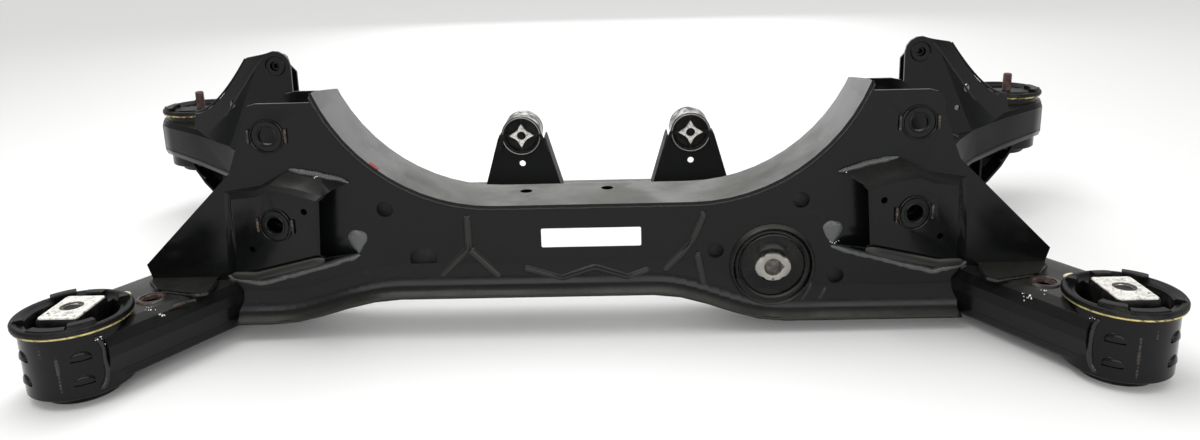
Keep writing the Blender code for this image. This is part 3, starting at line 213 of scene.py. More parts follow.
def blend(tree, share, first, second):
    """Mix two colours; each is a hex code or a socket."""
    node = add_node(tree, "ShaderNodeMix", links={0: share}, data_type="RGBA", clamp_factor=True)
    for socket, colour in ((6, first), (7, second)):
        if isinstance(colour, str):
            node.inputs[socket].default_value = linear(colour)
        else:
            tree.links.new(colour, node.inputs[socket])
    return node.outputs[2]


def feed(shader, socket, source):
    shader.id_data.links.new(source, shader.inputs[socket])


def bump(tree, shader, height, distance_mm, strength=1.0):
    node = add_node(tree, "ShaderNodeBump", {"Strength": strength, "Distance": distance_mm * MM}, {"Height": height})
    feed(shader, "Normal", node.outputs["Normal"])


def dip_paint(name, dust=0.12, rust=0.5, base="0b0c0c", gloss=(0.14, 0.28), IOR=1.28):
    """Black cathodic dip paint baked on pressed steel: deep gloss over a faint orange peel, a film of dust on what
    faces up that at high dust is also painted highlight of the light from above, and brown rust bleeding through in
    small spots."""
    material, tree, shader, place = start_material(name, IOR=IOR)
    facing = add_node(tree, "ShaderNodeNewGeometry").outputs["Normal"]
    up = add_node(tree, "ShaderNodeSeparateXYZ", links={"Vector": facing}).outputs["Z"]
    cloud = grain(tree, place, 45.0, 6.0, 0.65, 0.4)
    # Paler where it faces up: a dust film, and at the lip and edge settings also a painted highlight of the overhead
    # light
    dust_and_top_light = times(tree, times(tree, band(tree, up, 0.45, 1.0), band(tree, cloud, 0.35, 0.75, 0.35, 1.0)), dust)
    streak = times(tree, band(tree, grain(tree, place, 14.0, 8.0, 0.75, 1.5), 0.62, 0.8), dust)
    colour = blend(tree, dust_and_top_light, base, "77766f")
    colour = blend(tree, streak, colour, "4a4945")
    spots = times(tree, band(tree, grain(tree, place, 9.0, 10.0, 0.8, 0.6), 0.74, 0.8), rust)
    colour = blend(tree, spots, colour, "5a3018")
    feed(shader, "Base Color", colour)
    haze = band(tree, grain(tree, place, 30.0, 6.0, 0.7), 0.35, 0.75, *gloss)
    dull = add_node(tree, "ShaderNodeMath", links={0: dust_and_top_light, 1: haze}, operation="ADD").outputs[0]
    dull = add_node(tree, "ShaderNodeMath", links={0: dull, 1: spots}, operation="ADD").outputs[0]
    feed(shader, "Roughness", dull)
    peel = grain(tree, place, 2.5, 2.0, 0.5)
    dents = grain(tree, place, 40.0, 2.0, 0.4)
    height = add_node(tree, "ShaderNodeMath", {1: 8.0}, {0: dents, 2: peel}, operation="MULTIPLY_ADD")
    bump(tree, shader, height.outputs[0], 0.05, 0.5)
    return material


def moulded_rubber(name, dust, gloss):
    """Black natural rubber from a mould: dull or oiled, with pale dust rubbed into it."""
    material, tree, shader, place = start_material(name, IOR=1.28)
    dusty = band(tree, grain(tree, place, 12.0, 8.0, 0.7, 0.8), 0.45, 0.75)
    feed(shader, "Base Color", blend(tree, times(tree, dusty, dust), "090909", "43413c"))
    feed(shader, "Roughness", band(tree, dusty, 0.0, 1.0, gloss, 0.7))
    bump(tree, shader, grain(tree, place, 1.6, 6.0, 0.7), 0.12, 0.7)
    return material


def cast_aluminium(name, bare, white):
    """Die-cast aluminium gone white with road salt: chalk over dull metal, thicker where bare is low."""
    material, tree, shader, place = start_material(name, Metallic=0.85)
    chalk = band(tree, grain(tree, place, 2.5, 10.0, 0.8, 0.5), bare, bare + 0.2)
    pits = band(tree, grain(tree, place, 1.5, 6.0, 0.7), 0.60, 0.70)
    colour = blend(tree, chalk, "8f8d87", white)
    colour = blend(tree, pits, colour, "4a4640")
    feed(shader, "Base Color", colour)
    feed(shader, "Metallic", band(tree, chalk, 0.0, 1.0, 0.9, 0.15))
    feed(shader, "Roughness", band(tree, chalk, 0.0, 1.0, 0.38, 0.8))
    bump(tree, shader, grain(tree, place, 1.2, 8.0, 0.8), 0.25, 0.8)
    return material


def yellow_zinc():
    """Zinc plate with a yellow passivation: pale straw, worn to brown rust at its rim."""
    material, tree, shader, place = start_material("yellow_zinc", Roughness=0.45, Metallic=0.7)
    worn = band(tree, grain(tree, place, 8.0, 8.0, 0.75, 1.0), 0.46, 0.60)
    bloom = grain(tree, place, 3.0, 4.0, 0.6)
    colour = blend(tree, bloom, "b5a35c", "ded39a")
    feed(shader, "Base Color", blend(tree, worn, colour, "5b4630"))
    feed(shader, "Metallic", band(tree, worn, 0.0, 1.0, 0.75, 0.1))
    bump(tree, shader, grain(tree, place, 1.5, 6.0, 0.7), 0.1, 0.6)
    return material


def worn_steel():
    """Bare steel tube end, wiped bright with dark scale left in its hollows."""
    material, tree, shader, place = start_material("worn_steel", Roughness=0.4, Metallic=0.9)
    scale = band(tree, grain(tree, place, 7.0, 8.0, 0.7, 0.5), 0.42, 0.6)
    feed(shader, "Base Color", blend(tree, scale, "8f8d88", "2a2927"))
    feed(shader, "Roughness", band(tree, scale, 0.0, 1.0, 0.3, 0.55))
    bump(tree, shader, grain(tree, place, 1.5, 6.0, 0.7), 0.08, 0.6)
    return material


def weld_bead(name, rust, base="191a1a"):
    """Gas-shielded weld under the dip paint: lumpy and glossy, with rust where the paint has chipped off it."""
    material, tree, shader, place = start_material(name, IOR=1.4)
    chips = band(tree, grain(tree, place, 5.0, 8.0, 0.75, 0.8), 0.62 - 0.14 * rust, 0.72 - 0.12 * rust)
    rusty = ramp(tree, grain(tree, place, 2.5, 6.0, 0.7), ((0.35, "291f1b"), (0.5, "4c3a31"), (0.65, "705d51")))
    colour = blend(tree, times(tree, chips, min(1.0, 0.35 + rust)), base, rusty)
    feed(shader, "Base Color", colour)
    feed(shader, "Roughness", band(tree, chips, 0.0, 1.0, 0.16, 0.7))
    bump(tree, shader, grain(tree, place, 2.2, 5.0, 0.65, 0.4), 0.5, 0.8)
    return material


def red_chalk():
    """Wax crayon of an inspection mark, half rubbed off."""
    material, tree, shader, place = start_material("red_chalk", Roughness=0.7)
    rubbed = band(tree, grain(tree, place, 2.0, 6.0, 0.7), 0.45, 0.6)
    feed(shader, "Base Color", blend(tree, rubbed, "9a4444", "5a4b49"))
    return material


def mottled(name, patches, stops, relief, values):
    """A material from a row of MOTTLED."""
    material, tree, shader, place = start_material(name, **values)
    feed(shader, "Base Color", ramp(tree, grain(tree, place, *patches), stops))
    if relief:
        bump(tree, shader, grain(tree, place, *relief[:-2]), *relief[-2:])
    return material


def vinyl_sticker():
    """Matt white vinyl sticker, a little grimy where it has lifted."""
    material, tree, shader, place = start_material("vinyl_sticker", Roughness=0.45)
    grime = band(tree, grain(tree, place, 9.0, 8.0, 0.7, 0.8), 0.58, 0.8)
    feed(shader, "Base Color", blend(tree, times(tree, grime, 0.35), "f3f3f1", "b9b5aa"))
    bump(tree, shader, grain(tree, place, 14.0, 3.0, 0.5), 0.15, 0.5)
    return material


def since(bm, before):
    """The vertices that a bmesh has gained since before was its set of them."""
    return [vert for vert in bm.verts if vert not in before]


def spun(bm, profile, centre=(0, 0, 0), upright=True, steps=96, start=0.0, sweep=360.0):
    """Spin a closed outline of (radius, height) pairs about Z, or about Y; part of a turn gets flat ends."""
    before = set(bm.verts)
    turn = radians(start)
    corners = [bm.verts.new((radius * cos(turn), radius * sin(turn), height)) for radius, height in profile]
    whole = sweep == 360.0
    if whole:
        outline = corners + [bm.edges.new(pair) for pair in zip(corners, corners[1:] + corners[:1])]
    else:
        outline = [bm.faces.new(corners)]
    bmesh.ops.spin(bm, geom=outline, cent=(0, 0, 0), axis=(0, 0, 1), angle=radians(sweep), steps=steps,
                   use_merge=whole)
    made = since(bm, before)
    if not upright:
        bmesh.ops.rotate(bm, verts=made, cent=(0, 0, 0), matrix=Matrix.Rotation(radians(-90), 3, "X"))
    bmesh.ops.translate(bm, verts=made, vec=centre)
    return made


def ball(bm, size, place, subdivisions=3):
    made = bmesh.ops.create_icosphere(bm, subdivisions=subdivisions, radius=1.0)["verts"]
    bmesh.ops.scale(bm, verts=made, vec=size)
    bmesh.ops.translate(bm, verts=made, vec=place)
    return made


def slab(inner, outer, low, high, edge=0.0):
    """Square section of a flat ring, with its corners cut off by edge."""
    if not edge:
        return [(inner, low), (outer, low), (outer, high), (inner, high)]
    return [(outer - edge, low), (outer, low + edge), (outer, high - edge), (outer - edge, high),
            (inner + edge, high), (inner, high - edge), (inner, low + edge), (inner + edge, low)]


def ring(radius, height, thick, tall=None, step=45):
    """Section of a round rim; tall is its other half width where it is oval."""
    return [(radius + thick * cos(radians(a)), height + (tall or thick) * sin(radians(a)))
            for a in range(0, 360, step)]


def rounded_block(bm, size, place, corner, turn=0.0):
    """A block with every edge rounded."""
    before = set(bm.verts)
    made = bmesh.ops.create_cube(bm, size=1.0)["verts"]
    bmesh.ops.scale(bm, verts=made, vec=size)
    edges = list({edge for vert in made for edge in vert.link_edges})
    round_edges(bm, edges, corner)
    made = since(bm, before)
    bmesh.ops.rotate(bm, verts=made, cent=(0, 0, 0), matrix=Matrix.Rotation(radians(turn), 3, "Z"))
    bmesh.ops.translate(bm, verts=made, vec=place)
    return made


def round_edges(bm, edges, width, segments=2):
    bmesh.ops.bevel(bm, geom=edges, offset=width, offset_type="OFFSET", segments=segments, profile=0.5,
                    affect="EDGES", material=-1)


def reshape(bm, x, z, reach):
    """Move each vertex in or out from an axis along Y, to the radius that reach gives for its (x, z) offset."""
    for vert in bm.verts:
        across = Vector((vert.co.x - x, vert.co.z - z))
        across *= reach(across) / across.length
        vert.co.x, vert.co.z = x + across.x, z + across.y


def mesh_from(bm, name):
    mesh = bpy.data.meshes.new(name)
    bm.to_mesh(mesh)
    bm.free()
    return mesh


def add_object(name, data):
    thing = bpy.data.objects.new(name, data)
    bpy.context.collection.objects.link(thing)
    return thing


def finish_piece(name, bm, material, replaces=(), sharp=35, matrix=Matrix()):
    """Set a bmesh in its place as a piece that rides on the part."""
    bmesh.ops.remove_doubles(bm, verts=bm.verts, dist=1e-6)
    bmesh.ops.transform(bm, matrix=Matrix.Translation((0, ROW_Y, 0)) @ matrix, verts=bm.verts)
    bmesh.ops.recalc_face_normals(bm, faces=bm.faces)
    mesh = mesh_from(bm, name)
    mesh.materials.append(material)
    mesh.shade_smooth()
    mesh.set_sharp_from_angle(angle=radians(sharp))
    carry(add_object(name, mesh), replaces)


def carry(thing, replaces=()):
    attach(thing, "root")
    if replaces:
        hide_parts(*replaces)


def walk(points, soften):
    """Evenly spaced points along a bent line, its corners eased."""
    spots = [Vector(point) for point in points]
    line = [spots[0]]
    for start, end in zip(spots, spots[1:]):
        count = max(1, round((end - start).length / RUN_STEP))
        line += [start.lerp(end, share / count) for share in range(1, count + 1)]
    for _ in range(soften):
        line = [line[0]] + [(a + b * 2 + c) / 4 for a, b, c in zip(line, line[1:], line[2:])] + [line[-1]]
    return line


def round_runs(name, lines, radius, material, ripple=0.0, wander=0.0, taper=1.0, soften=6):
    """Round runs along lines: pressed beads, rolled rims or weld seams, whose ripple swells their thickness."""
    data = bpy.data.curves.new(name, "CURVE")
    data.dimensions = "3D"
    data.bevel_depth = radius
    data.bevel_resolution = 2
    data.use_fill_caps = True
    for points in lines:
        line = walk(points, soften)
        spline = data.splines.new("POLY")
        spline.points.add(len(line) - 1)
        ends = max(1.0, taper * radius / RUN_STEP)
        for index, (point, spot) in enumerate(zip(spline.points, line)):
            lump = noise.noise(spot * 160.0)
            drift = noise.noise_vector(spot * 90.0) * wander
            point.co = (*(spot + drift + Vector((0, ROW_Y, 0))), 1.0)
            edge = min(1.0, (min(index, len(line) - 1 - index) + 0.35) / ends)
            swell = 1.0 + ripple * (0.5 * sin(index * 2.2) + lump)
            point.radius = swell * sqrt(max(0.0, 1.0 - (1.0 - edge) ** 2))
    data.materials.append(material)
    carry(add_object(name, data))


def both_sides(points):
    """The same line on the right and on the left."""
    return [[(side * x, y, z) for x, y, z in points] for side in (1, -1)]


def louvre():
    """One pressed louvre on a sleeve: a bulge that grows downward and ends at a flat underside, where a separate strip
    of painted shade stands for its open slit.
    """
    half_width, bulge, height = 0.0092, 0.0024, 0.0080
    bm = bmesh.new()
    bmesh.ops.create_uvsphere(bm, u_segments=16, v_segments=12, radius=1.0)
    bmesh.ops.scale(bm, verts=bm.verts, vec=(half_width, bulge, height))
    cut = bmesh.ops.bisect_plane(bm, geom=bm.verts[:] + bm.edges[:] + bm.faces[:], plane_co=(0, 0, 0),
                                 plane_no=(0, 0, -1), clear_outer=True)
    bmesh.ops.edgeloop_fill(bm, edges=[item for item in cut["geom_cut"] if isinstance(item, bmesh.types.BMEdge)])
    return mesh_from(bm, "louvre")


def mount_sleeve(name, seat, bottom, matrix, looks, louvred):
    """Pressed steel sleeve with broken edges; the near ones carry two rows of louvres, each over a near-black strip of
    painted shade for its open slit.
    """
    radius = SLEEVE_RADIUS
    bm = bmesh.new()
    spun(bm, slab(radius - SHEET, radius, bottom, seat, 0.0008))
    if louvred:
        pressed = louvre()
        # Painted shade: a near-black strip under each louvre stands for the dark inside seen through its open slit
        slit_shade = bmesh.new()
        for column in range(LOUVRE_COLUMNS):
            middle = radians(LOUVRE_START + 360 / LOUVRE_COLUMNS * column)
            for height in LOUVRE_ROWS:
                before = set(bm.verts)
                bm.from_mesh(pressed)
                for vert in since(bm, before):
                    swing = middle + vert.co.x / radius
                    reach = radius - 0.0002 + vert.co.y
                    vert.co = (reach * sin(swing), -reach * cos(swing), vert.co.z + seat - height)
                half = degrees(0.0086 / radius)
                spun(slit_shade, slab(radius - 0.0004, radius + 0.0005, seat - height - 0.0018, seat - height), steps=6,
                     start=degrees(middle) - 90 - half, sweep=2 * half)
        bpy.data.meshes.remove(pressed)
        finish_piece(name + "_louvre_slit_shade", slit_shade, looks["shadow"], matrix=matrix)
    finish_piece(name + "_pressed_sleeve", bm, looks["sleeve"], (name + "_sleeve",), matrix=matrix)


def mount_can(name, seat, bottom, matrix, looks, notched):
    """Plated can with a flange over the sleeve; the far ones have a notched rim."""
    outer, inner, rim, top = 0.0437, 0.0422, 0.0512, seat + 0.0027
    bm = bmesh.new()
    spun(bm, [(outer, bottom + SHEET), (outer, seat + GAP), (rim - 0.0006, seat + GAP), (rim, seat + 0.0009),
              (rim, top - 0.0006), (rim - 0.0006, top), (inner, top), (inner, bottom + SHEET)], steps=144)
    if notched:
        for vert in bm.verts:
            swing = degrees(atan2(vert.co.y, vert.co.x)) % 12
            if vert.co.xy.length > outer + 0.001 and swing < 4:
                vert.co.xy *= 0.965
    finish_piece(name + "_plated_can", bm, looks["zinc"], (name + "_bush_can",), matrix=matrix)


def mount_rubber(name, seat, bottom, boot, core_rise, matrix, looks):
    """Moulded rubber: a lipped flange, deep voids beside a jacketed core, webs at its ends and raised stops."""
    under = seat + 0.0030
    bm = bmesh.new()
    lining, floor = 0.0385, seat - 0.024
    spun(bm, [(0.0418, bottom + 0.004), (0.0418, under), (0.0520, under), (0.0520, under + 0.0028),
              (0.0510, under + 0.0042), (0.0494, under + 0.0048), (0.0470, under + 0.0047), (0.0455, under + 0.0040),
              (0.0446, under + 0.0024), (0.0425, under + 0.0014), (0.0400, under + 0.0006), (lining, under - 0.004),
              (lining - 0.001, bottom + 0.004)])
    spun(bm, [(0.0020, boot), (0.0325, boot), (0.0340, boot + 0.0015), (0.0352, bottom - 0.001),
              (0.0400, bottom + 0.0025), (0.0400, bottom + 0.006), (0.0390, floor), (0.0020, floor)])
    rounded_block(bm, (0.0396, 0.0540, 0.028), (0, 0, seat + core_rise - 0.0149), 0.003)
    for end in (-1, 1):
        web = rounded_block(bm, (0.034, 0.016, 0.030), (0, end * 0.0335, under - 0.0145), 0.0022)
        for vert in web:
            vert.co.x *= 1.0 + 22.0 * max(0.0, abs(vert.co.y) - 0.030)
    stops = ((-51, 28, 0.0042), (-89, 42, 0.0014), (129, 27, 0.0040), (92, 22, 0.0012), (40, 10, 0.0030),
             (-150, 8, 0.0016))
    for middle, sweep, rise in stops:
        crest = under + 0.0045 + rise
        spun(bm, [(0.0395, under), (0.0395, crest - 0.0012), (0.0407, crest), (0.0478, crest),
                  (0.0490, crest - 0.0012), (0.0498, under + 0.0030), (0.0498, under)], steps=8,
             start=middle - sweep / 2, sweep=sweep)
    finish_piece(name + "_moulded_rubber", bm, looks["rubber"], (name + "_bush_rubber",), 40, matrix)


def mount_core(name, seat, matrix, looks):
    """Die-cast core of a near mount: broken edges, a raised seat and a countersunk bolt hole, shown by a flat ring of
    grime that is partly painted shade.
    """
    rounded_copy(name + "_bush_core", looks["chalky"], 1.1 * MM, 1.1 * MM)
    top = seat + 0.0115
    bm = bmesh.new()
    spun(bm, [(0.0104, top - 0.001), (0.0104, top + 0.0006), (0.0110, top + 0.0009), (0.0122, top + 0.0006),
              (0.0130, top - 0.001)], steps=64)
    rounded_block(bm, (0.0042, 0.0042, 0.0016), (-0.0125, -0.0165, top), 0.0006, 20)
    finish_piece(name + "_bolt_seat", bm, looks["chalky"], matrix=matrix)
    # A flat dark ring round the bolt hole: grime and painted shade of the countersink
    bm = bmesh.new()
    spun(bm, [(0.0074, top - 0.0004), (0.0074, top + 0.0002), (0.0105, top + 0.0003), (0.0105, top - 0.0004)],
         steps=64)
    spun(bm, slab(0.0001, 0.0011, top + 0.0008, top + 0.0010), (-0.0125, -0.0165, 0), steps=16)
    finish_piece(name + "_countersink_grime_and_shade", bm, looks["grime"], matrix=matrix)


def sunk_core(name, seat, boot, matrix, looks):
    """Core of a far mount, sunk in its rubber and grimy."""
    bm = bmesh.new()
    rounded_block(bm, (0.0365, 0.0505, seat + 0.0040 - boot), (0, 0, (seat + 0.0040 + boot) / 2), 0.0012)
    finish_piece(name + "_sunk_core", bm, looks["rubber"], (name + "_bush_core",), matrix=matrix)


def body_mount(end, label, looks):
    """One of the four body mounts; the left near one is the pattern that the others mirror or turn."""
    near = end == "rear"
    side = -1 if label == "left" else 1
    seat, bottom, boot = (REAR_SEAT, REAR_BOTTOM, 0.0) if near else (FRONT_SEAT, FRONT_BOTTOM, FRONT_BOOT)
    spot = (side * REAR_X, 0, 0) if near else (side * FRONT_X, FRONT_Y, 0)
    turn = Matrix.Diagonal((-side, 1, 1, 1))
    if not near:
        turn = turn @ Matrix.Rotation(radians(-90), 4, "Z")
    matrix = Matrix.Translation(spot) @ turn
    name = "%s_mount_%s" % (end, label)
    mount_sleeve(name, seat, bottom, matrix, looks, near)
    mount_can(name, seat, bottom, matrix, looks, not near)
    mount_rubber(name, seat, bottom, boot, 0.0115 if near else 0.0030, matrix, looks)
    if near:
        mount_core(name, seat, matrix, looks)
    else:
        sunk_core(name, seat, boot, matrix, looks)


def mount_bolt(label, looks):
    """Rusty bolt left in a far mount: a hexagon head below, a worn thread above."""
    x = -FRONT_X if label == "left" else FRONT_X + 0.006
    head, foot, top, major, minor = 0.0737, 0.0657, 0.184, 0.0063, 0.0054
    profile = [(0.0005, head - 0.001), (major, head - 0.001), (major, 0.150)]
    pitch = 0.00175
    turns = int((top - 0.150) / pitch) - 1
    for number in range(turns):
        height = 0.150 + number * pitch
        profile += [(minor, height + pitch * 0.35), (minor, height + pitch * 0.5), (major, height + pitch * 0.85)]
    profile += [(minor - 0.0006, top), (0.0005, top)]
    bm = bmesh.new()
    spun(bm, profile, (x, FRONT_Y, 0), steps=32)
    before = set(bm.verts)
    bmesh.ops.create_cone(bm, cap_ends=True, segments=6, radius1=0.0105, radius2=0.0105, depth=head - foot)
    rim = list({edge for vert in since(bm, before) for edge in vert.link_edges})
    round_edges(bm, rim, 0.0006)
    bmesh.ops.translate(bm, verts=since(bm, before), vec=(x, FRONT_Y, (head + foot) / 2))
    spun(bm, ring(0.0088, foot - 0.0002, 0.0006), (x, FRONT_Y, 0), steps=32)
    node = "front_mount_bolt_" + label
    finish_piece(node + "_threaded", bm, looks["rust"], (node,))


def large_bush(looks):
    """Drive bush pressed in the near crossmember: thin sleeve rim and a raised ring in painted highlight, glossy
    groove, dished rubber, a lobed core.
    """
    near, far = FACE_Y - 0.006, FACE_Y + BOX_DEPTH + 0.004
    middle = (DIFF_X, 0, DIFF_Z)
    # Painted highlight: the rolled rim takes the paler edge paint, standing for the light ring along it
    bm = bmesh.new()
    spun(bm, [(0.0402, near + 0.0040), (0.0404, near + 0.0004), (0.0411, near - 0.0003), (0.0419, near + 0.0003),
              (0.0426, near + 0.0018), (0.0440, near + 0.0044), (0.0440, far - 0.0008), (0.0432, far),
              (0.0418, far), (0.0402, far - 0.0008)], middle, False, 128)
    finish_piece("diff_bush_rolled_sleeve", bm, looks["edge"], ("diff_bush_sleeve",))
    bm = bmesh.new()
    spun(bm, [(0.0404, near + 0.0030), (0.0404, far - 0.004), (0.0172, far - 0.004), (0.0172, near + 0.0030),
              (0.0200, near + 0.0034), (0.0240, near + 0.0054), (0.0318, near + 0.0050), (0.0328, near + 0.0030)]
         + [(0.0366 + 0.0038 * cos(radians(a)), near + 0.0030 + 0.0034 * abs(sin(radians(a))))
            for a in range(170, -1, -17)], middle, False, 128)
    finish_piece("diff_bush_dished_rubber", bm, looks["wet_rubber"], ("diff_bush_rubber",), 40)
    # Painted highlight: the raised ring in the paler edge paint, fuller at the lower right where it catches light
    bm = bmesh.new()
    crest = 0.0338
    spun(bm, ring(crest, near + 0.0022, 0.0015, 0.0024, 30), middle, False, 128)
    reshape(bm, DIFF_X, DIFF_Z, lambda across: crest + (across.length - crest)
            * (0.45 + 0.55 * max(0.0, (across.x * 0.35 - across.y) / 0.0355)))
    finish_piece("diff_bush_raised_ring", bm, looks["edge"], (), 60)
    bm = bmesh.new()
    spun(bm, [(0.0092, near - 0.0010), (0.0110, near - 0.0014), (0.0156, near - 0.0014), (0.0166, near - 0.0006),
              (0.0170, near + 0.0012), (0.0170, far + 0.001), (0.0066, far + 0.001), (0.0066, near + 0.0060),
              (0.0084, near + 0.0010)], middle, False, 144)

    def lobes(across):
        if across.length < 0.0150:
            return across.length
        swing = atan2(across.y, across.x)
        squash = 1.0 / hypot(cos(swing) / 1.1, sin(swing) / 0.90)
        half = degrees(swing) % 180
        notch = max(0.0, 1.0 - abs(min(half, 180 - half) - 48) / 14)
        return across.length * squash * (1.0 - 0.07 * notch)

    reshape(bm, DIFF_X, DIFF_Z, lobes)
    finish_piece("diff_bush_lobed_core", bm, looks["aluminium"], ("diff_bush_core",), 40)
    # Grime, partly painted shade: a dark dot below the core, a disc closing its hole and a notch in it
    bm = bmesh.new()
    spun(bm, slab(0.0001, 0.0012, near - 0.0017, near), (DIFF_X, 0, DIFF_Z - 0.0128), False, 16)
    spun(bm, slab(0.0004, 0.0084, near + 0.0035, near + 0.0045), middle, False, 48)
    notch = rounded_block(bm, (0.0036, 0.0010, 0.0036), (0, 0, 0), 0.0003)
    bmesh.ops.rotate(bm, verts=notch, cent=(0, 0, 0), matrix=Matrix.Rotation(radians(45), 3, "Y"))
    bmesh.ops.translate(bm, verts=notch, vec=(DIFF_X + 0.0092, near - 0.0012, DIFF_Z + 0.0005))
    finish_piece("diff_bush_core_marks", bm, looks["grime"])


def small_bush(label, looks):
    """Front drive bush: wiped tube end, rubber with four pockets and a four-pointed core."""
    x = SMALL_BUSH_X[label == "right"]
    near, far = SMALL_BUSH_Y, SMALL_BUSH_Y + 0.046
    middle = (x, 0, SMALL_BUSH_Z)
    bm = bmesh.new()
    spun(bm, slab(0.0250, 0.0280, near, far, 0.0008), middle, False)
    finish_piece("diff_tube_%s_end" % label, bm, looks["steel"], ("diff_tube_" + label,))
    bm = bmesh.new()
    spun(bm, [(0.0248, near + 0.0010), (0.0252, near - 0.0003), (0.0276, near - 0.0003), (0.0284, near + 0.0004),
              (0.0284, near + 0.0030), (0.0278, near + 0.0036)], middle, False)
    finish_piece("diff_tube_%s_painted_rim" % label, bm, looks["paint"])
    # Painted highlight: a thin pale aluminium ring stands for the light caught along the tube's rim
    bm = bmesh.new()
    spun(bm, ring(0.0264, near - 0.0006, 0.0009), middle, False)
    finish_piece("diff_tube_%s_rim_highlight" % label, bm, looks["aluminium"])
    bm = bmesh.new()
    inner = 1 if x < 0 else -1
    for side in (-1, 1):
        shoulder = rounded_block(bm, (0.011, 0.003, 0.026), (0, 0, 0), 0.0008)
        for vert in shoulder:
            up = vert.co.z / 0.013
            outward = 0.0320 - 0.0048 * up if side == inner else 0.0305 - 0.0042 * up
            width = 0.45 if side == inner else 0.8
            vert.co = (x + side * (outward + vert.co.x * width), near - 0.0012 + vert.co.y,
                       SMALL_BUSH_Z - 0.010 + vert.co.z)
    finish_piece("diff_bracket_%s_shoulders" % label, bm, looks["dull"])
    bm = bmesh.new()
    spun(bm, [(0.0246, near + 0.0030), (0.0246, far - 0.0030), (0.0010, far - 0.0030), (0.0010, near + 0.0062),
              (0.0150, near + 0.0060), (0.0215, near + 0.0064), (0.0228, near + 0.0034)], middle, False)
    for turn in (0, 90, 180, 270):
        swing = radians(turn)
        rib = rounded_block(bm, (0.010, 0.006, 0.0052), (0, 0, 0), 0.0012)
        for vert in rib:
            out, wide = vert.co.x + 0.0185, vert.co.z
            vert.co = (x + out * cos(swing) - wide * sin(swing), near + 0.0060 + vert.co.y,
                       SMALL_BUSH_Z + out * sin(swing) + wide * cos(swing))
    finish_piece("diff_rubber_%s_ribbed" % label, bm, looks["rubber"], ("diff_rubber_" + label,), 40)
    bm = bmesh.new()
    spun(bm, [(0.0064, near + 0.0008), (0.0074, near + 0.0002), (0.0118, near + 0.0004), (0.0128, near + 0.0016),
              (0.0128, far - 0.001), (0.0064, far - 0.001)], middle, False, 96)

    def points(across):
        swing = abs((degrees(atan2(across.y, across.x)) % 90) - 45) / 45
        return across.length * ((0.0094 + 0.0078 * swing ** 2.6) / 0.0128 if across.length > 0.010 else 1.0)

    reshape(bm, x, SMALL_BUSH_Z, points)
    finish_piece("diff_core_%s_pointed" % label, bm, looks["chalky"], ("diff_core_" + label,), 40)


def arch_line(drop, share, y):
    """Points along the arch from left to right, lowered square to itself; share trims its climbing ends."""
    radius = ARCH_RADIUS + drop
    sweep = radians(ARCH_SWEEP) * share
    climb = [(ARCH_FLAT + radius * sin(sweep * step / 24), y,
              ARCH_Z + ARCH_RADIUS - radius * cos(sweep * step / 24)) for step in range(25)]
    return [(-x, y, z) for x, y, z in reversed(climb)] + climb


def belly_line(y, rise):
    """The S-shaped lower edge of the face, left to right."""
    def ease(start, end, share):
        return start + (end - start) * (1 - cos(pi * share)) / 2
    shares = [step / 12 for step in range(13)]
    left = [(-0.200 - 0.135 * share, y, ease(0.045, 0.020, share) + rise) for share in reversed(shares)]
    right = [(0.060 + 0.135 * share, y, ease(0.045, 0.014, share) + rise) for share in shares]
    return [(-0.372, y, 0.020 + rise)] + left + right + [(0.372, y, 0.014 + rise)]


def pocket_y(x):
    """The pocket's slanting front."""
    return FACE_Y - 0.033 + (0.033 - 0.0075) * (abs(x) - 0.266) / (0.369 - 0.266)


def swept(bm, section, path):
    """Sweep a closed (y, rise) section along (x, z) points without turning it."""
    x, z = path[0]
    face = bm.faces.new([bm.verts.new((x, y, z + rise)) for y, rise in section])
    for (x, z), (next_x, next_z) in zip(path, path[1:]):
        made = bmesh.ops.extrude_face_region(bm, geom=[face])["geom"]
        face = next(item for item in made if isinstance(item, bmesh.types.BMFace))
        bmesh.ops.translate(bm, verts=[item for item in made if isinstance(item, bmesh.types.BMVert)],
                            vec=(next_x - x, 0, next_z - z))


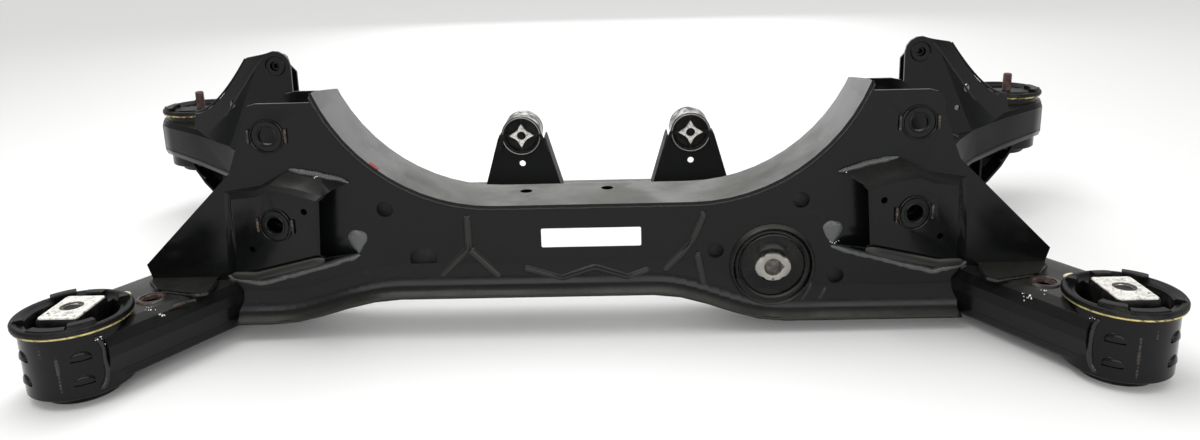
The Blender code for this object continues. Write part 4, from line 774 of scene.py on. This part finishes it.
def face_details(looks):
    """Smooth beads, flared lip, weld seams, bolt seats and an inspection mark of the near crossmember; the beads,
    flares, lip, pocket flanges and pocket welds carry painted highlight.
    """
    bead_y = FACE_Y + 0.0018
    # Painted highlight: beads, flares and the rolled lip take the paler edge paint, standing for the light caught on
    # their tops
    round_runs("face_pressed_beads", [[(x, bead_y, z) for x, z in points] for points in BEADS], 0.0051, looks["edge"],
               soften=8)
    round_runs("face_flares", [[(x, FACE_Y + 0.0008, z) for x, z in points] for points in FLARES], 0.0034,
               looks["edge"], taper=3.0, soften=8)
    round_runs("face_rolled_lip", [belly_line(FACE_Y - 0.0103, 0.0018)], 0.0021, looks["edge"], soften=8)
    bm = bmesh.new()
    flare = ((-0.0004, 0.034), (-0.0014, 0.022), (-0.0032, 0.0135), (-0.0060, 0.0078), (-0.0090, 0.0050),
             (-0.0115, 0.0036), (-0.0080, 0.0010), (0.0010, 0.0060), (0.0015, 0.034))
    swept(bm, [(FACE_Y + y, rise) for y, rise in flare], [(x, z) for x, _, z in belly_line(0, 0)])
    # Painted highlight: the lip paint lightens the flared lip, which catches the light from above
    finish_piece("face_lip_sweep", bm, looks["lip"])
    round_runs("arch_weld_seam", [arch_line(0.0042, 0.99, FACE_Y + 0.0002)], 0.0017, looks["weld"], ripple=0.2,
               wander=0.0004)
    # Painted highlight: the pocket welds take the pale weld bead, standing for light caught on glossy welds
    round_runs("pocket_top_welds", both_sides([(x, FACE_Y - 0.0010, z) for x, z in POCKET_TOP[:3]]), 0.0032,
               looks["bright_weld"], ripple=0.25, wander=0.0010, taper=6.0)
    round_runs("pocket_bottom_welds", both_sides([(x, FACE_Y - 0.0010, z - 0.0012) for x, z in POCKET_BOTTOM]), 0.0036,
               looks["bright_weld"], ripple=0.2, wander=0.0008, taper=4.0)
    # Painted highlight: rounded flanges in the paler edge paint stand for the bright band along the pockets' lower
    # edges
    flange = [(0.3745, 0.0735), (0.345, 0.0750), (0.268, 0.0985)]
    round_runs("pocket_lower_flanges", both_sides([(x, pocket_y(x) + 0.0016, z - 0.0010) for x, z in flange]),
               0.0046, looks["edge"], taper=3.0)
    # Painted highlight: pale weld dabs beside the pockets
    dabs = bmesh.new()
    for side in (-1, 1):
        made = bmesh.ops.create_icosphere(dabs, subdivisions=4, radius=1.0)["verts"]
        for vert in made:
            vert.co.x *= 0.55 + 0.45 * vert.co.z
            vert.co.z += 0.12 * noise.noise(vert.co * 2.3)
        bmesh.ops.scale(dabs, verts=made, vec=(0.0150, 0.0022, 0.0130))
        bmesh.ops.translate(dabs, verts=made, vec=(side * 0.2425, FACE_Y, 0.1040))
    finish_piece("pocket_weld_dabs", dabs, looks["bright_weld"])
    mark = arch_line(-0.0013, 0.60, FACE_Y - 0.0019)
    round_runs("inspection_mark", [mark[0:3]], 0.0014, looks["red"], ripple=0.3, wander=0.0008)
    foot = [(x, y, ARM_TOP + 0.0008) for x, y in WING_FOOT]
    round_runs("wing_foot_weld_seams", both_sides(foot), 0.0018, looks["weld"], ripple=0.25, wander=0.0006)
    rust_line = [(-0.4085, 0.0335, ARM_TOP), (-0.4005, 0.0425, ARM_TOP), (-0.3925, 0.0490, ARM_TOP - 0.001)]
    round_runs("arm_rust_line", [rust_line], 0.0012, looks["rusty_weld"], ripple=0.4, wander=0.0010)
    rims, guides = bmesh.new(), bmesh.new()
    for side in (-1, 1):
        for (x, z), on_pocket in ((UPPER_LINK, False), (LOWER_LINK, True)):
            front = (pocket_y(x) if on_pocket else FACE_Y) - 0.0014
            before = set(rims.verts)
            spun(rims, ring(0.0168, front + 0.0006, 0.0011), (side * x, 0, z), False, 64)
            spun(rims, ring(0.0100, front, 0.0009), (side * x, 0, z), False, 64)
            earlier = set(guides.verts)
            for shift in (-GUIDE_OFFSET, GUIDE_OFFSET):
                rounded_block(guides, (0.0030, 0.0052, 0.0155), (side * (x + shift), front + 0.0012, z), 0.0012)
            if on_pocket:
                slope = (0.033 - 0.0075) / (0.369 - 0.266)
                for vert in since(rims, before) + since(guides, earlier):
                    vert.co.y += slope * (abs(vert.co.x) - x)
    finish_piece("link_seat_rims", rims, looks["worn_paint"])
    finish_piece("link_seat_guides", guides, looks["rusty_weld"])


def hole_linings(looks):
    """The dusty inner wall seen through the face's holes."""
    bm = bmesh.new()
    for x, z, radius in INNER_WALLS:
        spun(bm, slab(0.0004, radius, FACE_Y + 0.0120, FACE_Y + 0.0130), (x, 0, z), False, 32)
    finish_piece("inner_wall_behind_holes", bm, looks["inner"])


def sticker(looks):
    """Blank white sticker on the face."""
    bm = bmesh.new()
    bmesh.ops.create_cube(bm, size=1.0)
    bmesh.ops.scale(bm, verts=bm.verts, vec=(0.102, 0.0004, 0.020))
    corners = [edge for edge in bm.edges if abs(edge.verts[0].co.y - edge.verts[1].co.y) > 0.0002]
    round_edges(bm, corners, 0.0016, 4)
    bmesh.ops.translate(bm, verts=bm.verts, vec=(-0.003, FACE_Y - 0.0003, 0.105))
    finish_piece("blank_sticker", bm, looks["sticker"])


def arm_details(looks):
    """Rusty rims round the arms' holes with rust, partly painted shade, in their throats; scuffs and welds on their
    sleeves; drain notches in painted shade below lips in painted highlight; weld spatter in painted highlight; and
    sealant.
    """
    rims, throats, glint_drops, blobs, drain_shade = bmesh.new(), bmesh.new(), bmesh.new(), bmesh.new(), bmesh.new()
    scuffs, lips = [], []
    for side in (-1, 1):
        x, y = ARM_HOLE
        spun(rims, [(0.0103, ARM_TOP - 0.003), (0.0103, ARM_TOP + 0.0008), (0.0110, ARM_TOP + 0.0016),
                    (0.0126, ARM_TOP + 0.0018), (0.0144, ARM_TOP + 0.0011), (0.0158, ARM_TOP - 0.0004),
                    (0.0158, ARM_TOP - 0.003)], (side * x, y, 0), steps=64)
        # Rust lining the holes' throats, darker than the rims partly as painted shade
        spun(throats, [(0.0093, ARM_TOP - 0.004), (0.0093, ARM_TOP - 0.0002), (0.0105, ARM_TOP + 0.0006),
                       (0.0105, ARM_TOP - 0.004)], (side * x, y, 0), steps=64)
        for swing in (-8, 9):
            turn = radians(swing)
            reach = SLEEVE_RADIUS - 0.0019
            scuffs.append([(side * (REAR_X - reach * sin(turn)), -reach * cos(turn), height)
                           for height in ((0.068, 0.050), (0.058, 0.014))[swing > 0]])
        lips.append([(side * 0.3805, FACE_Y - 0.0025, 0.049), (side * 0.3840, FACE_Y - 0.0030, 0.026)])
        # Painted shade: a flattened near-black ball stands for the dark inside of each drain notch
        ball(drain_shade, (0.0048, 0.0020, 0.0060), (side * 0.3770, FACE_Y, 0.0235))
    round_runs("sleeve_scuffs", scuffs, 0.0022, looks["rim_rust"], ripple=0.25, wander=0.0004, taper=3.0)
    # Painted highlight: the drain lips take the pale weld bead, standing for the light caught along them
    round_runs("drain_lips", lips, 0.0021, looks["bright_weld"], ripple=0.15)
    finish_piece("drain_notch_shade", drain_shade, looks["shadow"])
    finish_piece("arm_hole_rims", rims, looks["rim_rust"])
    finish_piece("arm_hole_throats", throats, looks["rust"])
    seams = []
    for side in (-1, 1):
        seam = []
        for swing, height in ((50, 0.0655), (55, 0.060), (57, 0.050), (57, 0.030), (54, 0.0195), (48, 0.0145)):
            turn, reach = radians(swing), SLEEVE_RADIUS - 0.0002
            seam.append((side * (REAR_X - reach * sin(turn)), -reach * cos(turn), height))
        seams.append(seam)
    round_runs("arm_sleeve_welds", seams, 0.0026, looks["weld"], ripple=0.12, wander=0.0006)
    # Painted highlight: weld spatter beads in chalk-white aluminium stand for the glints on them
    for place, count, spread in SPATTER:
        for number in range(2 * count):
            shift = noise.noise_vector(Vector((number * 3.7, place[0] * 50, place[2] * 40))) * spread
            size = 0.0004 + 0.0007 * abs(noise.noise(Vector((number * 5.3, place[1] * 60, 1.7))))
            ball(glint_drops, (size,) * 3, Vector(place) + Vector((shift.x, shift.y, shift.z * 0.3)), 2)
    finish_piece("weld_spatter_glints", glint_drops, looks["chalky"])
    for place, size in SEALANT:
        made = ball(blobs, size, (0, 0, 0))
        for vert in made:
            vert.co *= 1.0 + 0.25 * noise.noise(vert.co * 180.0)
        bmesh.ops.translate(blobs, verts=made, vec=place)
    finish_piece("sealant_blobs", blobs, looks["sealant"])


def struck(name, start, ahead):
    """Where a ray meets a node, in the working frame, or None."""
    if name not in TREES:
        mesh = frame["nodes"][name].data
        TREES[name] = BVHTree.FromPolygons([v.co for v in mesh.vertices], [p.vertices for p in mesh.polygons])
    shift = Vector((0, ROW_Y, 0))
    hit = TREES[name].ray_cast(Vector(start) + shift, Vector(ahead))[0]
    return None if hit is None else hit - shift


def plate_front(name, x, z):
    """Y of a plate's near side at a spot."""
    hit = struck(name, (x, 0.2, z), (0, 1, 0))
    return None if hit is None else hit.y


def bracket_details(looks):
    """Rear plates' rims, pressed creases in painted highlight, eye rings with their nuts and foot welds of the far
    link brackets.
    """
    rims, welds, creases = [], [], []
    eyes, nuts = bmesh.new(), bmesh.new()
    for side, label in ((-1, "left"), (1, "right")):
        plate = "front_link_plate_near_" + label
        rim = []
        for step in range(25):
            share = step / 24
            x = 0.476 + (0.572 - 0.476) * share
            z = 0.166 + (0.245 - 0.166) * (1 - share) ** 1.75
            y = plate_front(plate, side * x, z - 0.004)
            if y is not None:
                rim.append((side * (x + 0.0008), y + 0.0045, z + 0.0004))
        rims.append(rim)
        crease = []
        for step in range(25):
            x, z = 0.4445 + (0.508 - 0.4445) * step / 24, 0.249 + (0.168 - 0.249) * step / 24
            y = plate_front(plate, side * x, z)
            if y is not None:
                crease.append((side * x, y + 0.0006, z))
        creases.append(crease)
        foot = []
        for step in range(33):
            x = side * (0.412 + (0.556 - 0.412) * step / 32)
            y = plate_front(plate, x, 0.150)
            if y is None:
                continue
            hit = struck("side_rail_upper_" + label, (x, y - 0.001, 0.4), (0, 0, -1))
            if hit is not None and hit.z < 0.16:
                foot.append((x, y - 0.0006, hit.z + 0.0008))
        if len(foot) > 4:
            welds.append(foot)
        front = plate_front(plate, side * 0.4285, 0.2235)
        spun(eyes, ring(0.0128, front - 0.0002, 0.0011), (side * 0.4285, 0, 0.2375), False, 64)
        spun(nuts, [(0.0035, front + 0.0060), (0.0035, front + 0.0045), (0.0070, front + 0.0042),
                    (0.0085, front + 0.0050), (0.0085, front + 0.0100), (0.0004, front + 0.0100)],
             (side * 0.4285, 0, 0.2375), False, 48)
    round_runs("bracket_rear_plate_rims", rims, 0.0015, looks["paint"])
    # Painted highlight: the creases take the paler edge paint, standing for the light caught along the bends
    round_runs("bracket_creases", creases, 0.0016, looks["edge"], taper=8.0)
    round_runs("bracket_foot_welds", welds, 0.0030, looks["weld"], ripple=0.2, wander=0.0008)
    finish_piece("bracket_eye_rings", eyes, looks["paint"])
    finish_piece("bracket_eye_nuts", nuts, looks["paint"])


def rounded_copy(name, material, cut, bend):
    """A CAD node's sheet in place of the plain one: cut edges broken by cut, and pressed bends rounded by bend."""
    source = frame["nodes"][name]
    bm = bmesh.new()
    bm.from_mesh(source.data)
    bmesh.ops.remove_doubles(bm, verts=bm.verts, dist=1e-6)
    bmesh.ops.dissolve_limit(bm, angle_limit=radians(1.0), verts=bm.verts, edges=bm.edges)
    weight = bm.edges.layers.float.new("bevel_weight_edge")
    for edge in bm.edges:
        if len(edge.link_faces) == 2 and edge.calc_face_angle() > radians(32):
            narrow = min(2 * face.calc_area() / face.calc_perimeter() for face in edge.link_faces)
            bent = narrow > 2.2 * SHEET and edge.calc_length() > 3 * bend
            edge[weight] = (1.0 if edge.is_convex else 0.4) if bent else cut / bend
    mesh = mesh_from(bm, name + "_sheet")
    mesh.materials.clear()
    mesh.materials.append(material)
    mesh.shade_smooth()
    thing = add_object(name + "_sheet", mesh)
    edge = thing.modifiers.new("rounded_edges", "BEVEL")
    edge.width = bend
    edge.segments = 3 if bend > cut else 2
    edge.limit_method = "WEIGHT"
    edge.harden_normals = True
    mesh.set_sharp_from_angle(angle=radians(32))
    carry(thing, (name,))
    return thing


def make_camera():
    """The photograph's camera, worked out from the part's own edges."""
    data = bpy.data.cameras.new("camera")
    data.sensor_width = SENSOR
    data.lens = SENSOR * FOCAL_PIXELS / FRAME_PIXELS[0]
    data.shift_y = (HORIZON_PIXEL - FRAME_PIXELS[1] / 2) / FRAME_PIXELS[0]
    camera = add_object("camera", data)
    camera.matrix_world = (Matrix.Translation(CAMERA_PLACE) @ Matrix.Rotation(-CAMERA_YAW, 4, "Z")
                           @ Matrix.Rotation(pi / 2 - CAMERA_PITCH, 4, "X")
                           @ Matrix.Rotation(CAMERA_ROLL, 4, "Z"))
    bpy.context.scene.camera = camera


def make_lamp(name, place, target, size, power):
    """A soft box that faces the part."""
    data = bpy.data.lights.new(name, "AREA")
    data.shape = "RECTANGLE"
    data.size, data.size_y = size
    data.energy = power
    lamp = add_object(name, data)
    lamp.location = place
    lamp.rotation_mode = "QUATERNION"
    lamp.rotation_quaternion = (Vector(target) - Vector(place)).to_track_quat("-Z", "Y")
    lamp.visible_camera = False


def make_studio():
    """Soft boxes over and behind the part, in a pale room, on a white floor."""
    world = bpy.data.worlds.new("studio")
    bpy.context.scene.world = world
    world.use_nodes = True
    tree = world.node_tree
    direction = add_node(tree, "ShaderNodeTexCoord").outputs["Generated"]
    parts = add_node(tree, "ShaderNodeSeparateXYZ", links={"Vector": direction})
    sideways = add_node(tree, "ShaderNodeMath", links={0: parts.outputs["X"]}, operation="ABSOLUTE").outputs[0]
    level = times(tree, band(tree, parts.outputs["Y"], -0.9, 0.5, 0.7, 0.85),
                  band(tree, sideways, 0.45, 0.9, 1.0, 0.55))
    tree.links.new(level, tree.nodes["Background"].inputs["Strength"])
    tree.nodes["Background"].inputs["Color"].default_value = (1.0, 1.0, 1.0, 1.0)
    make_lamp("top_box", (-0.35, 0.1, 1.6), (0, 0, 0), (2.2, 0.6), 16.0)
    make_lamp("wall_box", (0.0, 2.4, 0.95), (0, 0, 0.1), (1.6, 1.4), 11.0)
    make_lamp("front_box", (0.3, -2.0, 0.6), (0, 0, 0.02), (3.2, 0.6), 18.0)
    bm = bmesh.new()
    bmesh.ops.create_grid(bm, x_segments=1, y_segments=1, size=12.0)
    mesh = mesh_from(bm, "floor")
    mesh.materials.append(start_material("studio_floor", Roughness=0.7, Base_Color=linear("fbfbfa"))[0])
    floor = add_object("floor", mesh)
    floor.location.z = CAD_LOW.z


def main():
    bpy.context.scene.view_settings.view_transform = "Standard"
    looks = {"paint": dip_paint("dip_paint"), "strip": dip_paint("strip_paint", dust=0.4),
             "sleeve": dip_paint("sleeve_paint", rust=0.8), "worn_paint": dip_paint("worn_paint", rust=2.0),
             # edge: painted highlight with dust, a paler, dustier paint for rims, beads, flares, lips, flanges and
             # creases that catch the light from above
             "edge": dip_paint("dust_and_highlight_paint", dust=0.55, base="262725"),
             # lip: painted highlight with dust, a dustier paint on the face's flared lip, whose top catches the light
             # from above
             "lip": dip_paint("lip_highlight_paint", dust=0.5),
             "dull": dip_paint("dull_paint", base="161717", gloss=(0.45, 0.6), IOR=1.2), "red": red_chalk(),
             # bright_weld: painted highlight, a pale grey copy of the weld bead for glossy welds and lips that catch
             # the light
             "weld": weld_bead("weld_bead", 0.15), "bright_weld": weld_bead("highlight_weld_bead", 0.1, "4b4d4c"),
             "rusty_weld": weld_bead("rusty_weld_bead", 1.0), "rim_rust": weld_bead("rim_rust", 0.6, "2c2522"),
             "rubber": moulded_rubber("moulded_rubber", 0.45, 0.4),
             "wet_rubber": moulded_rubber("oiled_rubber", 0.2, 0.14),
             "aluminium": cast_aluminium("cast_aluminium", 0.5, "9b9a94"),
             "chalky": cast_aluminium("chalky_aluminium", 0.34, "f0eee8"), "zinc": yellow_zinc(),
             "steel": worn_steel(), "sticker": vinyl_sticker()}
    looks.update({key: mottled(*row) for key, row in MOTTLED.items()})
    for end in ("rear", "front"):
        for label in ("left", "right"):
            body_mount(end, label, looks)
    for label in ("left", "right"):
        mount_bolt(label, looks)
        small_bush(label, looks)
    large_bush(looks)
    face_details(looks)
    arm_details(looks)
    bracket_details(looks)
    hole_linings(looks)
    sticker(looks)
    slots = {part["node"]: part["material_slot"] for part in frame["record"]["subparts"]}
    for name in sorted(frame["nodes"]):
        if slots[name] == "black_paint" and name not in REPLACED:
            look = "strip" if name == "crossmember_back_shell" else "dull" if name in DULL else "paint"
            rounded_copy(name, looks[look], CUT_EDGE, BENDS.get(name, SHEET_BEND) * MM)
    make_camera()
    make_studio()


main()
